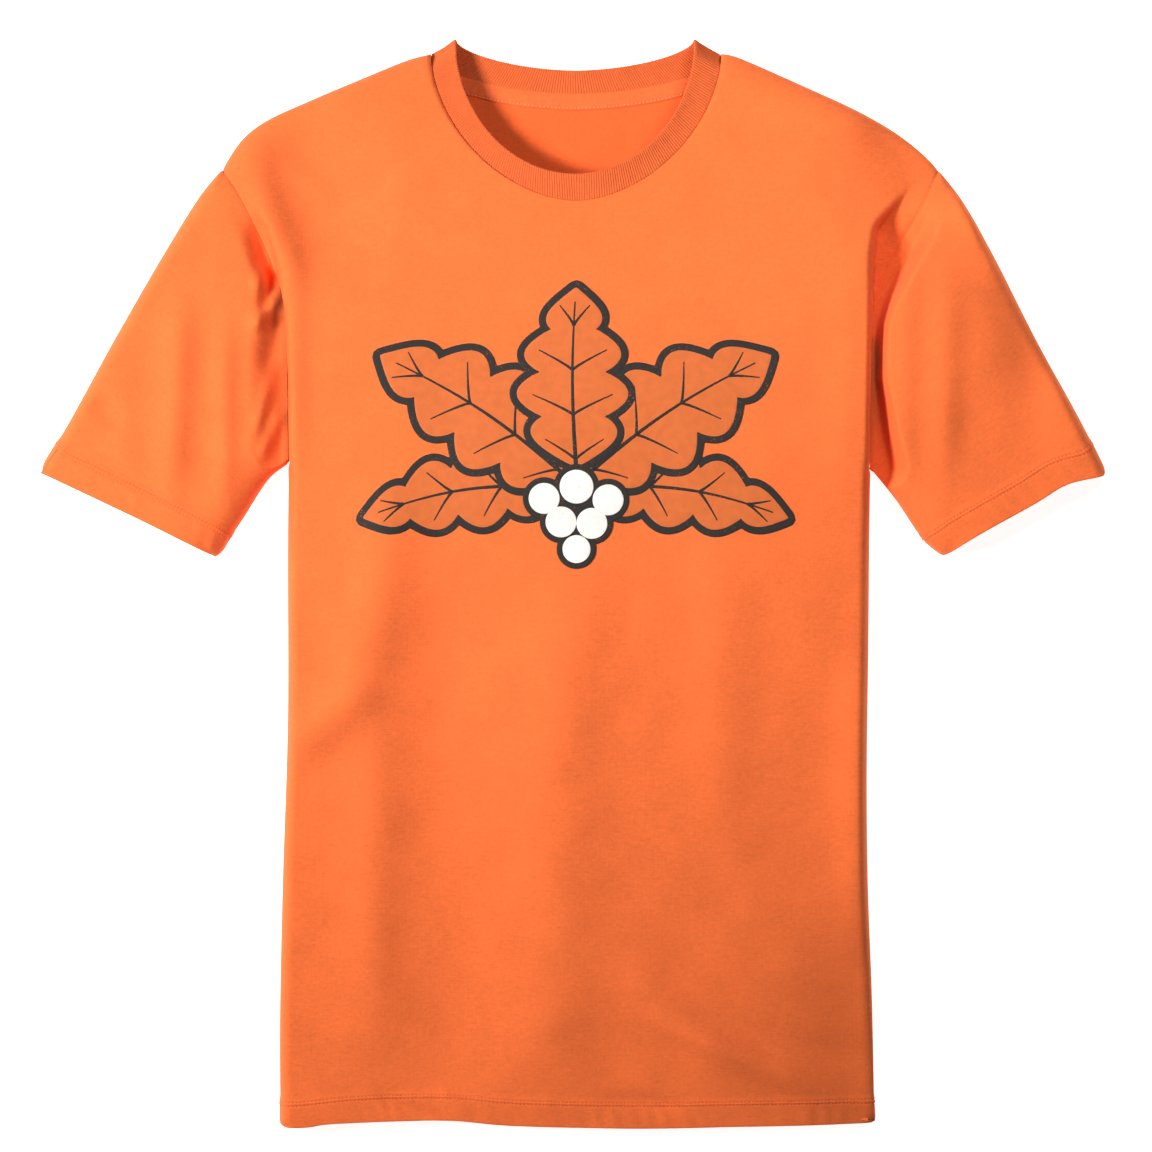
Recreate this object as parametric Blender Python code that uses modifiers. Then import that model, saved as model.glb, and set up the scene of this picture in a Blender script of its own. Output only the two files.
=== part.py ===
"""A short-sleeved crew-neck T-shirt of jersey knit, lying on its back with the front up.

The shirt is six cloth pieces: a front and a back panel, two sleeves, a ribbed collar band and a
neck tape. Each is a smooth surface, given the thickness of the cloth by Solidify. The plan of each
piece follows the shirt's outline, and its height follows from how far a point is from the edges
where front and back meet. The hem, the sleeves and the neck are open.

Metres, +Z up. The collar points to +Y, and the origin is on the floor under the middle. Left and
right are as one looks at the front from above.
"""

import bmesh
import bpy
import numpy as np

# The shirt's main sizes, and where its outline runs
HALF_SPAN = 0.3638  # from the middle to the tip of a sleeve
HALF_LENGTH = 0.3730  # from the middle to the collar's top, or to the lowest point of the hem
NECK_HALF_WIDTH = 0.0996
NECK_MIDDLE_X = 0.0017
NECK_POINT_Y = 0.3638
FRONT_NECK_DROP = 0.1022
BACK_NECK_DROP = 0.0271
COLLAR_HALF_WIDTH = 0.0824
COLLAR_MIDDLE_X = 0.0010
COLLAR_POINT_Y = HALF_LENGTH
COLLAR_FRONT_DROP = 0.0930
COLLAR_BACK_DROP = 0.0198
NECK_POWER = 1.11
COLLAR_FRONT_POWER = 1.18
COLLAR_BACK_POWER = 1.0
TAPE_WIDTH = 0.0106
TAPE_START = 0.52  # radians round the back neckline, from the shoulder

SIDE_LEFT = (
    (-0.1972, -0.3722),
    (-0.2003, -0.3698),
    (-0.2012, -0.3640),
    (-0.2016, -0.2999),
    (-0.1996, -0.2037),
    (-0.1961, -0.0938),
    (-0.1961, 0.0161),
    (-0.1955, 0.0828),
)
SIDE_RIGHT = (
    (0.2028, -0.3702),
    (0.2057, -0.3677),
    (0.2066, -0.3620),
    (0.2051, -0.2861),
    (0.2020, -0.2037),
    (0.2012, -0.1300),
    (0.2023, -0.0457),
    (0.2030, 0.0299),
    (0.2037, 0.0794),
)
ARMHOLE_LEFT = (
    (-0.1955, 0.0828),
    (-0.1961, 0.1398),
    (-0.1982, 0.1879),
    (-0.2058, 0.2154),
    (-0.2168, 0.2415),
    (-0.2291, 0.2662),
    (-0.2415, 0.2841),
)
ARMHOLE_RIGHT = (
    (0.2037, 0.0794),
    (0.2044, 0.1261),
    (0.2051, 0.1673),
    (0.2078, 0.1948),
    (0.2161, 0.2195),
    (0.2277, 0.2387),
    (0.2387, 0.2580),
    (0.2508, 0.2841),
)
SHOULDER_LEFT = (
    (-0.2415, 0.2841),
    (-0.2277, 0.3047),
    (-0.2099, 0.3184),
    (-0.1797, 0.3322),
    (-0.1474, 0.3459),
    (-0.0979, 0.3638),
)
SHOULDER_RIGHT = (
    (0.2508, 0.2841),
    (0.2367, 0.2978),
    (0.2181, 0.3116),
    (0.1934, 0.3253),
    (0.1638, 0.3390),
    (0.1013, 0.3638),
)
SLEEVE_TOP_LEFT = (
    (-0.2415, 0.2841),
    (-0.2580, 0.2635),
    (-0.2834, 0.2222),
    (-0.3150, 0.1673),
    (-0.3452, 0.1123),
    (-0.3612, 0.0860),
    (-HALF_SPAN, 0.0797),
)
SLEEVE_TOP_RIGHT = (
    (0.2508, 0.2841),
    (0.2662, 0.2635),
    (0.2896, 0.2222),
    (0.3177, 0.1673),
    (0.3473, 0.1123),
    (0.3612, 0.0850),
    (HALF_SPAN, 0.0787),
)
UNDERARM_LEFT = (
    (-0.1955, 0.0828),
    (-0.2099, 0.0711),
    (-0.2277, 0.0436),
    (-0.2432, 0.0214),
    (-0.2478, 0.0193),
)
UNDERARM_RIGHT = (
    (0.2037, 0.0794),
    (0.2216, 0.0574),
    (0.2380, 0.0330),
    (0.2508, 0.0215),
    (0.2556, 0.0197),
)
SLEEVE_HEM_LEFT = (
    (-0.2478, 0.0193),
    (-0.2964, 0.0436),
    (-0.3577, 0.0727),
    (-0.3623, 0.0752),
    (-HALF_SPAN, 0.0797),
)
SLEEVE_HEM_RIGHT = (
    (0.2556, 0.0197),
    (0.2772, 0.0333),
    (0.3143, 0.0539),
    (0.3363, 0.0671),
    (0.3577, 0.0724),
    (0.3623, 0.0743),
    (HALF_SPAN, 0.0787),
)
HEM = (
    (-0.1972, -0.3722),
    (-0.1700, -0.3720),
    (-0.0880, -0.3679),
    (0.0355, -HALF_LENGTH),
    (0.1200, -0.3715),
    (0.2028, -0.3702),
)

# Heights
EDGE_HEIGHT = 0.009  # of the line where front and back meet
BODY_FULLNESS = 0.031  # of the front above that line
HEM_FULLNESS = 0.020
SLEEVE_FULLNESS = 0.022
FULL_FROM_Y = 0.05  # where the fullness has grown from the hem's to the body's
CROWN = 0.07  # share of the body's fullness that falls away towards the sides
BODY_HALF_FLAT = 0.15  # the sleeve's fullness takes over from here outwards
SLEEVE_FROM = 0.27
SIDE_ROLL = 0.025  # how far in from an edge the front reaches its full height
TOP_ROLL = 0.025
UNDERARM_ROLL = 0.034
BODY_ARMHOLE_ROLL = 0.016
SLEEVE_ARMHOLE_ROLL = 0.042
SLEEVE_VALLEY = 0.10  # share of that roll that stays low beside the armpit
BACK_ROLL = 0.014  # how far in from an edge the back lies flat
CREASE_FADES = (0.45, 0.98)  # shares of the armhole, from the armpit up
COLLAR_LIFT = 0.003

# Cloth
CLOTH = 0.0016
COLLAR_CLOTH = 0.0024
TAPE_CLOTH = 0.0010
GAP = 0.0005  # between neighbouring pieces
SLEEVE_GAP = 0.0009
SKIRT = 0.0020  # of the edge that stands straight up from a seam
SAME_PLACE = 0.00001  # points this close are one
TUCK = 0.15  # share of a face that the row beside a flat rim moves inwards

# How finely each piece is divided
BODY_COLUMNS = 28
SHOULDER_ROWS = 9
BODY_SIDE_ROWS = 15
ARMHOLE_ROWS = 14
BACK_SIDE_ROWS = 6
SLEEVE_ROWS = 12
COLLAR_ROWS = 3
TAPE_COLUMNS = 16
ROW_SPREAD = 1.2  # above 1, rows are closer at the armhole or the neck
NECK_SPREAD = 0.01  # the higher, the more evenly columns are spaced round the neck
ARMHOLE_SPREAD = 0.06  # and along the armhole

# Soft folds in the front: start, end, half width, height
FOLDS = (
    ((-0.165, 0.060), (-0.172, -0.340), 0.034, 0.0026),
    ((-0.085, 0.000), (-0.090, -0.365), 0.036, -0.0032),
    ((0.025, -0.010), (0.035, -0.370), 0.044, 0.0026),
    ((0.150, 0.040), (0.160, -0.345), 0.034, -0.0026),
    ((-0.200, 0.300), (-0.170, 0.140), 0.022, -0.0030),
    ((-0.180, 0.230), (-0.178, 0.060), 0.014, 0.0022),
    ((0.188, 0.240), (0.184, 0.060), 0.016, 0.0025),
    ((-0.250, 0.200), (-0.248, 0.050), 0.015, -0.0030),
    ((-0.285, 0.200), (-0.290, 0.070), 0.018, 0.0020),
    ((-0.228, 0.200), (-0.224, 0.090), 0.010, 0.0025),
    ((0.292, 0.220), (0.300, 0.080), 0.020, -0.0025),
    ((0.240, 0.215), (0.232, 0.090), 0.014, 0.0030),
)

FOLD_END = 0.7  # how bluntly a fold ends: lower is blunter
SPAN_STEPS = 12  # points of a smooth curve between two of its own


def smooth_line(points):
    """A fine line through the points, as a Catmull-Rom curve whose ends run straight on."""
    own = np.array(points, float)
    path = np.vstack([2 * own[0] - own[1], own, 2 * own[-1] - own[-2]])
    made = []
    for before, start, end, after in zip(path, path[1:], path[2:], path[3:]):
        t = np.linspace(0, 1, SPAN_STEPS, endpoint=False)[:, None]
        made.append(
            0.5
            * (
                2 * start
                + (end - before) * t
                + (2 * before - 5 * start + 4 * end - after) * t**2
                + (3 * start - before - 3 * end + after) * t**3
            )
        )
    return np.vstack([*made, own[-1:]])


def along(line, shares):
    """Points of a line at these shares of its length."""
    steps = np.linalg.norm(np.diff(line, axis=0), axis=1)
    reach = np.concatenate([[0], np.cumsum(steps)])
    at = np.asarray(shares) * reach[-1]
    return np.stack([np.interp(at, reach, line[:, k]) for k in range(2)], axis=1)


def ease(low, high, value):
    """0 below low, 1 above high, and a smooth step between."""
    t = np.clip((value - low) / (high - low), 0, 1)
    return t * t * (3 - 2 * t)


def roll(nearness):
    """A quarter circle: 0 at an edge, 1 from a nearness of 1 inwards."""
    return np.sqrt(1 - (1 - np.clip(nearness, 0, 1)) ** 2)


def nearness(points, line, reach, start=0.0):
    """Each point's distance from the line, over reach, plus the start value there."""
    ends = np.broadcast_to(start, len(line))
    first, step = line[:-1], np.diff(line, axis=0)
    off = points[:, None] - first
    share = np.clip((off * step).sum(2) / (step * step).sum(1), 0, 1)
    far = np.linalg.norm(off - share[..., None] * step, axis=2)
    return (far / reach + ends[:-1] + share * np.diff(ends)).min(1)


def crease_fade(line):
    """How shallow the crease along an armhole is: 0 is deep at the armpit, 1 is none at the top."""
    steps = np.linalg.norm(np.diff(line, axis=0), axis=1)
    share = np.concatenate([[0], np.cumsum(steps)]) / steps.sum()
    return ease(*CREASE_FADES, share) ** 2


COLLAR_TIPS = (
    (COLLAR_MIDDLE_X - COLLAR_HALF_WIDTH, COLLAR_POINT_Y),
    (COLLAR_MIDDLE_X + COLLAR_HALF_WIDTH, COLLAR_POINT_Y),
)
SIDES = [smooth_line(SIDE_LEFT), smooth_line(SIDE_RIGHT)]
ARMHOLES = [smooth_line(ARMHOLE_LEFT), smooth_line(ARMHOLE_RIGHT)]
SHOULDERS = [smooth_line(SHOULDER_LEFT), smooth_line(SHOULDER_RIGHT)]
SHOULDER_FOLDS = [np.vstack([line, tip]) for line, tip in zip(SHOULDERS, COLLAR_TIPS)]
SLEEVE_TOPS = [smooth_line(SLEEVE_TOP_LEFT), smooth_line(SLEEVE_TOP_RIGHT)]
UNDERARMS = [smooth_line(UNDERARM_LEFT), smooth_line(UNDERARM_RIGHT)]
SLEEVE_HEMS = [smooth_line(SLEEVE_HEM_LEFT), smooth_line(SLEEVE_HEM_RIGHT)]
HEM_LINE = smooth_line(HEM)


def fold_height(points):
    """The height that the soft folds add."""
    total = np.zeros(len(points))
    for start, end, half_width, height in FOLDS:
        step = np.subtract(end, start)
        off = points - start
        share = np.clip((off @ step) / (step @ step), 0, 1)
        aside = np.linalg.norm(off - share[:, None] * step, axis=1)
        total += (
            height
            * np.exp(-((aside / half_width) ** 2))
            * np.sin(np.pi * share) ** FOLD_END
        )
    return total


def fullness(points):
    """How far the front stands above the edge line where no edge is near."""
    x, y = points.T
    rise = ease(-HALF_LENGTH, FULL_FROM_Y, y)
    body = HEM_FULLNESS + (BODY_FULLNESS - HEM_FULLNESS) * rise
    crown = np.cos(np.clip(x / BODY_HALF_FLAT, -2, 2) * np.pi / 2)
    body = body * (1 - CROWN + CROWN * crown)
    outwards = ease(BODY_HALF_FLAT, SLEEVE_FROM, np.abs(x))
    return body + (SLEEVE_FULLNESS - body) * outwards


def front_height(points, of_sleeve=False):
    """The height of the front's outer surface, for points of the body or of a sleeve."""
    near = np.full(len(points), np.inf)
    edges = (
        (SIDES, SIDE_ROLL),
        (SHOULDER_FOLDS, TOP_ROLL),
        (SLEEVE_TOPS, TOP_ROLL),
        (UNDERARMS, UNDERARM_ROLL),
    )
    for lines, reach in edges:
        for line in lines:
            near = np.minimum(near, nearness(points, line, reach))
    for line in ARMHOLES:
        start = crease_fade(line)
        if of_sleeve:
            start = start - SLEEVE_VALLEY * (1 - start)
        reach = SLEEVE_ARMHOLE_ROLL if of_sleeve else BODY_ARMHOLE_ROLL
        near = np.minimum(near, nearness(points, line, reach, start))
    rise = roll(near)
    return EDGE_HEIGHT + rise * (fullness(points) + fold_height(points))


def back_height(points):
    """The height of the back's outer surface, which lies flat on the floor."""
    near = np.full(len(points), np.inf)
    for line in SIDES + SHOULDER_FOLDS + SLEEVE_TOPS + UNDERARMS:
        near = np.minimum(near, nearness(points, line, BACK_ROLL))
    return EDGE_HEIGHT * (1 - roll(near))


def neckline(middle, half_width, top, drop, power, angles):
    """A rounded neckline from the left shoulder, angle 0, to the right one, angle pi."""
    across = np.sign(np.cos(angles)) * np.abs(np.cos(angles)) ** power
    down = np.abs(np.sin(angles)) ** power
    return np.stack([middle - half_width * across, top - drop * down], axis=1)


def front_seam(angles, inset=0.0):
    """The front panel's neckline, or a line inside it."""
    return neckline(
        NECK_MIDDLE_X,
        NECK_HALF_WIDTH - inset,
        NECK_POINT_Y,
        FRONT_NECK_DROP - inset,
        NECK_POWER,
        angles,
    )


def back_seam(angles, inset=0.0):
    """The back panel's neckline, or a line above it."""
    return neckline(
        NECK_MIDDLE_X,
        NECK_HALF_WIDTH - inset,
        NECK_POINT_Y,
        BACK_NECK_DROP - inset,
        NECK_POWER,
        angles,
    )


def coons(bottom, top, left, right, across, up):
    """Points that fill the space between four edges: an array of columns by rows by two."""
    u = np.asarray(across)[:, None, None]
    v = np.asarray(up)[None, :, None]
    corners = (
        (1 - u) * (1 - v) * bottom[0]
        + u * (1 - v) * bottom[-1]
        + (1 - u) * v * top[0]
        + u * v * top[-1]
    )
    return (
        (1 - v) * bottom[:, None]
        + v * top[:, None]
        + (1 - u) * left[None]
        + u * right[None]
        - corners
    )


def neck_angles():
    """The places round a neckline where a panel and the collar have their points."""
    shares = ease(
        -NECK_SPREAD, 1 + NECK_SPREAD, np.linspace(0, 1, BODY_COLUMNS + 1)
    )
    return np.pi * (shares - shares[0]) / np.ptp(shares)


def armhole_shares():
    """The places along an armhole where a panel and a sleeve have their points."""
    shares = ease(
        -ARMHOLE_SPREAD, 1 + ARMHOLE_SPREAD, np.linspace(0, 1, ARMHOLE_ROWS + 1)
    )
    return (shares - shares[0]) / np.ptp(shares)


def body_plan(seam, side_rows):
    """Where the points of a body panel lie: columns by rows by two.

    A row runs from one side of the shirt to the other. The first is the hem and the last is the
    neckline, and between them the rows start on the side, the armhole and the shoulder in turn.
    """
    side_shares = np.linspace(0, 1, side_rows + 1)[:-1]
    shoulder_shares = (1 - (1 - np.linspace(0, 1, SHOULDER_ROWS + 1)) ** ROW_SPREAD)[1:]
    edges = [
        np.vstack(
            [
                along(side, side_shares),
                along(armhole, armhole_shares()),
                along(shoulder, shoulder_shares),
            ]
        )
        for side, armhole, shoulder in zip(SIDES, ARMHOLES, SHOULDERS)
    ]
    across = neck_angles() / np.pi
    steps = np.linalg.norm(np.diff(edges[0], axis=0), axis=1)
    up = np.concatenate([[0], np.cumsum(steps)]) / steps.sum()
    return coons(along(HEM_LINE, across), seam(neck_angles()), *edges, across, up)


def with_rim(plan, heights, rim_height):
    """Adds a last column along both sides of a body panel.

    Each rim point shares its place on the plan with the surface point beside it and lies
    at its own height, so that the cloth turns and meets its neighbour edge to edge. Where the
    two heights are alike, the surface point moves inwards instead.
    """
    surface = np.dstack([plan, heights])
    rims = []
    for edge, inner in ((surface[0], surface[1]), (surface[-1], surface[-2])):
        rims.append(edge.copy())
        rims[-1][:, 2] = rim_height(edge)
        flat = np.abs(rims[-1][:, 2] - edge[:, 2]) < GAP
        edge[flat] += TUCK * (inner[flat] - edge[flat])
    return np.stack([rims[0], *surface, rims[1]])


def grid_mesh(name, surface, closed=False):
    """A mesh object from an array of columns by rows by three; closed joins the last column."""
    columns, rows = surface.shape[0] - 1, surface.shape[1] - 1
    mesh = bpy.data.meshes.new(name)
    grid = bmesh.new()
    bmesh.ops.create_grid(grid, x_segments=columns, y_segments=rows, size=1.0)
    for vertex in grid.verts:
        column = round((vertex.co.x + 1) / 2 * columns)
        row = round((vertex.co.y + 1) / 2 * rows)
        vertex.co = surface[column, row]
    if closed:
        bmesh.ops.remove_doubles(grid, verts=grid.verts, dist=SAME_PLACE)
    grid.to_mesh(mesh)
    grid.free()
    obj = bpy.data.objects.new(name, mesh)
    mesh.shade_smooth()
    return obj


def cloth_material(name, colour, roughness):
    """A plain finish for a piece of cloth."""
    material = bpy.data.materials.new(name)
    material.use_nodes = True
    shader = material.node_tree.nodes["Principled BSDF"]
    shader.inputs["Base Color"].default_value = (*colour, 1)
    shader.inputs["Roughness"].default_value = roughness
    shader.inputs["Metallic"].default_value = 0
    return material


def finish_piece(obj, collection, material, thickness, outwards=-1.0):
    """Gives a surface its cloth thickness and finish, and puts it in the collection."""
    obj.data.materials.append(material)
    collection.objects.link(obj)
    cloth = obj.modifiers.new("Cloth", "SOLIDIFY")
    cloth.thickness = thickness
    cloth.offset = outwards
    return obj


def front_panel(collection, material):
    """The front, from the hem to the shoulders, with its top edge cut to the neckline."""
    plan = body_plan(front_seam, BODY_SIDE_ROWS)
    heights = front_height(plan.reshape(-1, 2)).reshape(plan.shape[:2])
    on_edge = heights - EDGE_HEIGHT < SKIRT
    heights = np.where(on_edge, EDGE_HEIGHT + SKIRT, heights)

    def rim_height(rim):
        return np.maximum(front_height(rim[:, :2]) - SKIRT, EDGE_HEIGHT + GAP / 2)

    surface = with_rim(plan, heights, rim_height)
    return finish_piece(
        grid_mesh("front_panel", surface), collection, material, CLOTH
    )


def back_panel(collection, material):
    """The back, which lies on the floor and turns up at its edges."""
    plan = body_plan(back_seam, BACK_SIDE_ROWS)
    heights = back_height(plan.reshape(-1, 2)).reshape(plan.shape[:2])
    heights = np.minimum(heights, EDGE_HEIGHT - SKIRT)

    def rim_height(rim):
        seam = back_height(rim[:, :2])
        return np.where(seam > EDGE_HEIGHT - SKIRT, EDGE_HEIGHT - GAP / 2, seam)

    surface = with_rim(plan, heights, rim_height)
    return finish_piece(
        grid_mesh("back_panel", surface[::-1]), collection, material, CLOTH
    )


def sleeve(name, which, collection, material):
    """A sleeve: one flattened tube from the armhole to its hem."""
    outwards = (-1, 1)[which]
    across = armhole_shares()
    up = np.linspace(0, 1, SLEEVE_ROWS + 1) ** ROW_SPREAD
    gap = np.array((outwards * SLEEVE_GAP, 0))
    plan = coons(
        along(ARMHOLES[which], across) + gap,
        along(SLEEVE_HEMS[which], across),
        along(UNDERARMS[which], up) + gap * (1 - up[:, None]),
        along(SLEEVE_TOPS[which], up) + gap * (1 - up[:, None]),
        across,
        up,
    )
    flat = plan.reshape(-1, 2)
    front = np.dstack([plan, front_height(flat, True).reshape(plan.shape[:2])])
    back = np.dstack([plan, back_height(flat).reshape(plan.shape[:2])])
    for layer in (front, back):
        layer[[0, -1], :, 2] = EDGE_HEIGHT
    ring = np.vstack([front, back[-2::-1]])
    if outwards > 0:
        ring = ring[::-1]
    return finish_piece(
        grid_mesh(name, ring, closed=True), collection, material, CLOTH
    )


def collar(collection, material):
    """The ribbed band round the neck, as one ring from its seam to its free edge."""
    angles = neck_angles()
    share = np.linspace(0, 1, COLLAR_ROWS + 1)[None, :, None]
    halves = []
    for seam, drop, power, height in (
        (front_seam, COLLAR_FRONT_DROP, COLLAR_FRONT_POWER, front_height),
        (back_seam, COLLAR_BACK_DROP, COLLAR_BACK_POWER, back_height),
    ):
        low = seam(angles, GAP)[:, None]
        free = neckline(
            COLLAR_MIDDLE_X, COLLAR_HALF_WIDTH, COLLAR_POINT_Y, drop, power, angles
        )
        plan = low + share * (free[:, None] - low)
        level = height(plan.reshape(-1, 2)).reshape(plan.shape[:2])
        level[[0, -1]] = EDGE_HEIGHT
        halves.append(np.dstack([plan, level + COLLAR_LIFT * share[..., 0] ** 2]))
    ring = np.vstack([halves[0], halves[1][-2::-1]])
    ring[-1] = ring[0]
    return finish_piece(
        grid_mesh("collar", ring, closed=True), collection, material, COLLAR_CLOTH
    )


def neck_tape(collection, material):
    """The narrow tape inside the back of the neck, just below the collar's seam."""
    angles = np.linspace(TAPE_START, np.pi - TAPE_START, TAPE_COLUMNS + 1)
    upper = back_seam(angles) - (0, GAP)
    tangent = np.gradient(upper, axis=0)
    below = np.column_stack([tangent[:, 1], -tangent[:, 0]])
    below /= np.linalg.norm(below, axis=1)[:, None]
    lower = upper + TAPE_WIDTH * below
    inside = CLOTH + GAP
    edges = [
        np.column_stack([line, back_height(line) + inside]) for line in (lower, upper)
    ]
    return finish_piece(
        grid_mesh("neck_tape", np.stack(edges, axis=1)), collection, material, TAPE_CLOTH, 1.0
    )


def clear_scene():
    """Removes the objects of the scene that Blender starts with."""
    for obj in list(bpy.data.objects):
        bpy.data.objects.remove(obj)


def main():
    """Builds the shirt."""
    clear_scene()
    shirt = bpy.data.collections.new("t_shirt")
    bpy.context.scene.collection.children.link(shirt)
    jersey = cloth_material("orange_jersey", (0.89, 0.20, 0.055), 0.9)
    rib = cloth_material("orange_rib", (0.80, 0.16, 0.040), 0.9)
    tape = cloth_material("orange_tape", (0.92, 0.23, 0.070), 0.85)
    front_panel(shirt, jersey)
    back_panel(shirt, jersey)
    sleeve("sleeve_left", 0, shirt, jersey)
    sleeve("sleeve_right", 1, shirt, jersey)
    collar(shirt, rib)
    neck_tape(shirt, tape)


main()
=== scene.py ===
"""The looks of an orange crew-neck T-shirt that lies on its back on a pale floor.

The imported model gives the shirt's box and its six cloth nodes. Each node is replaced by a fine
mesh of the same form: panels and sleeves of jersey with real turned hems, a collar whose ribs are
modelled one by one, a padded neck tape, rows of sewing thread, and a leaf print in three inks.

Metres, +Z up through the front, +Y towards the collar. Left and right are as one looks at the
front from above.
"""

from __future__ import annotations

import logging
import math
from dataclasses import dataclass, field
from enum import Enum
from typing import Sequence

import bpy
import numpy as np
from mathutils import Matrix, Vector, geometry

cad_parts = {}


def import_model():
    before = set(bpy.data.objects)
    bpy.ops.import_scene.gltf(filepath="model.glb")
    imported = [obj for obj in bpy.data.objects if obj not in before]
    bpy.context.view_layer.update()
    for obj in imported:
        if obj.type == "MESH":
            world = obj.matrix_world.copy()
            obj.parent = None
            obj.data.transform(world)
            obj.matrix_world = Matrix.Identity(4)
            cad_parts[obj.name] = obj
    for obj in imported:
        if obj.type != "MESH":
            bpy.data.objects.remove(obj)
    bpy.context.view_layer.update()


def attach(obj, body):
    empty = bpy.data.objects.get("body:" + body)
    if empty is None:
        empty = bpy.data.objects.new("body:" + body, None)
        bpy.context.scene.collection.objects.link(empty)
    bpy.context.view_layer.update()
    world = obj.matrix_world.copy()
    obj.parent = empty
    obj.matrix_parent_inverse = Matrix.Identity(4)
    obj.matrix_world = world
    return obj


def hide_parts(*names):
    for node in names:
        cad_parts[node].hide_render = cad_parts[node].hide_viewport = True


LOG = logging.getLogger("t_shirt")
MM = 0.001
BODY = "root"

Points = Sequence[tuple[float, float]]
Socket = bpy.types.NodeSocket


class Side(Enum):
    """A side of the shirt, as one looks at its front."""

    LEFT = -1
    RIGHT = 1

    @property
    def order(self) -> int:
        """Gives its place in a pair of values, the left one first."""
        return (self.value + 1) // 2


def linear(colour: str) -> tuple[float, float, float, float]:
    """Turns an sRGB hex colour to linear light.

    Args:
        colour: Six hex digits after a hash sign.

    Returns:
        Red, green, blue and an alpha of 1.
    """
    parts = [int(colour[k : k + 2], 16) / 255 for k in (1, 3, 5)]
    made = [c / 12.92 if c <= 0.04045 else ((c + 0.055) / 1.055) ** 2.4 for c in parts]
    return (made[0], made[1], made[2], 1.0)


# Lines and surfaces


def smooth_line(points: Points, steps: int = 16) -> np.ndarray:
    """Draws a Catmull-Rom curve through the points.

    Args:
        points: The curve's own points.
        steps: How many points are made between two of its own.

    Returns:
        The curve's points, one a row.
    """
    own = np.array(points, float)
    path = np.vstack([2 * own[0] - own[1], own, 2 * own[-1] - own[-2]])
    t = np.linspace(0, 1, steps, endpoint=False)[:, None]
    made = []
    for before, start, end, after in zip(path, path[1:], path[2:], path[3:]):
        bend = 2 * before - 5 * start + 4 * end - after
        twist = 3 * start - before - 3 * end + after
        made.append(0.5 * (2 * start + (end - before) * t + bend * t**2 + twist * t**3))
    return np.vstack([*made, own[-1:]])


def reach_along(line: np.ndarray) -> np.ndarray:
    """Gives the length of a line up to each of its points."""
    steps = np.linalg.norm(np.diff(line, axis=0), axis=1)
    return np.concatenate([[0], np.cumsum(steps)])


def along(line: np.ndarray, shares: np.ndarray) -> np.ndarray:
    """Gives the points of a line at these shares of its length."""
    reach = reach_along(line)
    at = np.asarray(shares) * reach[-1]
    return np.stack([np.interp(at, reach, line[:, k]) for k in range(line.shape[1])], 1)


def ease(low: float, high: float, value: np.ndarray) -> np.ndarray:
    """Gives 0 below low, 1 above high, and a smooth step between."""
    t = np.clip((value - low) / (high - low), 0, 1)
    return t * t * (3 - 2 * t)


def bell(value: np.ndarray, half_width: float) -> np.ndarray:
    """Gives a bell curve: 1 at 0, and little beyond twice the half width."""
    return np.exp(-((value / half_width) ** 2))


def ripple(
    points: np.ndarray, wavelength: float, seed: int, stretch: float = 1.0
) -> np.ndarray:
    """Gives smooth random unevenness, such as laid cloth has between its folds.

    Args:
        points: Places on the plan, one a row.
        wavelength: The usual distance between two crests, in metres.
        seed: The seed of the random draw.
        stretch: How much longer the crests are along Y than across.

    Returns:
        A value for each point, about 1 at most crests.
    """
    waves = 11
    draw = np.random.default_rng(seed)
    total = np.zeros(len(points))
    for _ in range(waves):
        turn, phase = draw.uniform(0, 2 * np.pi, 2)
        rate = 2 * np.pi / (wavelength * draw.uniform(0.7, 1.5))
        way = np.array([np.cos(turn), np.sin(turn) / stretch]) * rate
        total += np.sin(points @ way + phase)
    return total / math.sqrt(waves)


def distances(points: np.ndarray, line: np.ndarray) -> tuple[np.ndarray, np.ndarray]:
    """Measures how far points lie from a line.

    Args:
        points: Places on the plan, one a row.
        line: The line's points.

    Returns:
        Each point's distance from the line, and the share of the line's length that is nearest.
    """
    first, step = line[:-1], np.diff(line, axis=0)
    reach = reach_along(line)
    best = np.full(len(points), np.inf)
    place = np.zeros(len(points))
    for k, (start, way) in enumerate(zip(first, step)):
        off = points - start
        share = np.clip(off @ way / (way @ way), 0, 1)
        far = np.linalg.norm(off - share[:, None] * way, axis=1)
        nearer = far < best
        best[nearer] = far[nearer]
        place[nearer] = reach[k] + share[nearer] * (reach[k + 1] - reach[k])
    return best, place / reach[-1]


def coons(
    low: np.ndarray,
    high: np.ndarray,
    left: np.ndarray,
    right: np.ndarray,
    across: np.ndarray,
    up: np.ndarray,
    fade: float = 1.0,
) -> np.ndarray:
    """Fills the space between four edges.

    Args:
        low: The edge where up is 0, from left to right.
        high: The edge where up is 1, from left to right.
        left: The edge where across is 0, from low to high.
        right: The edge where across is 1, from low to high.
        across: The share of the way across of each column.
        up: The share of the way up of each row.
        fade: How fast the bends of the left and right edge fade inwards.

    Returns:
        An array of columns by rows by two.
    """
    u = across[:, None, None]
    v = up[None, :, None]
    bends = [
        edge[None] - (1 - v) * low[k] - v * high[k] for edge, k in ((left, 0), (right, -1))
    ]
    sides = (1 - u) ** fade * bends[0] + u**fade * bends[1]
    return (1 - v) * low[:, None] + v * high[:, None] + sides


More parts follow.
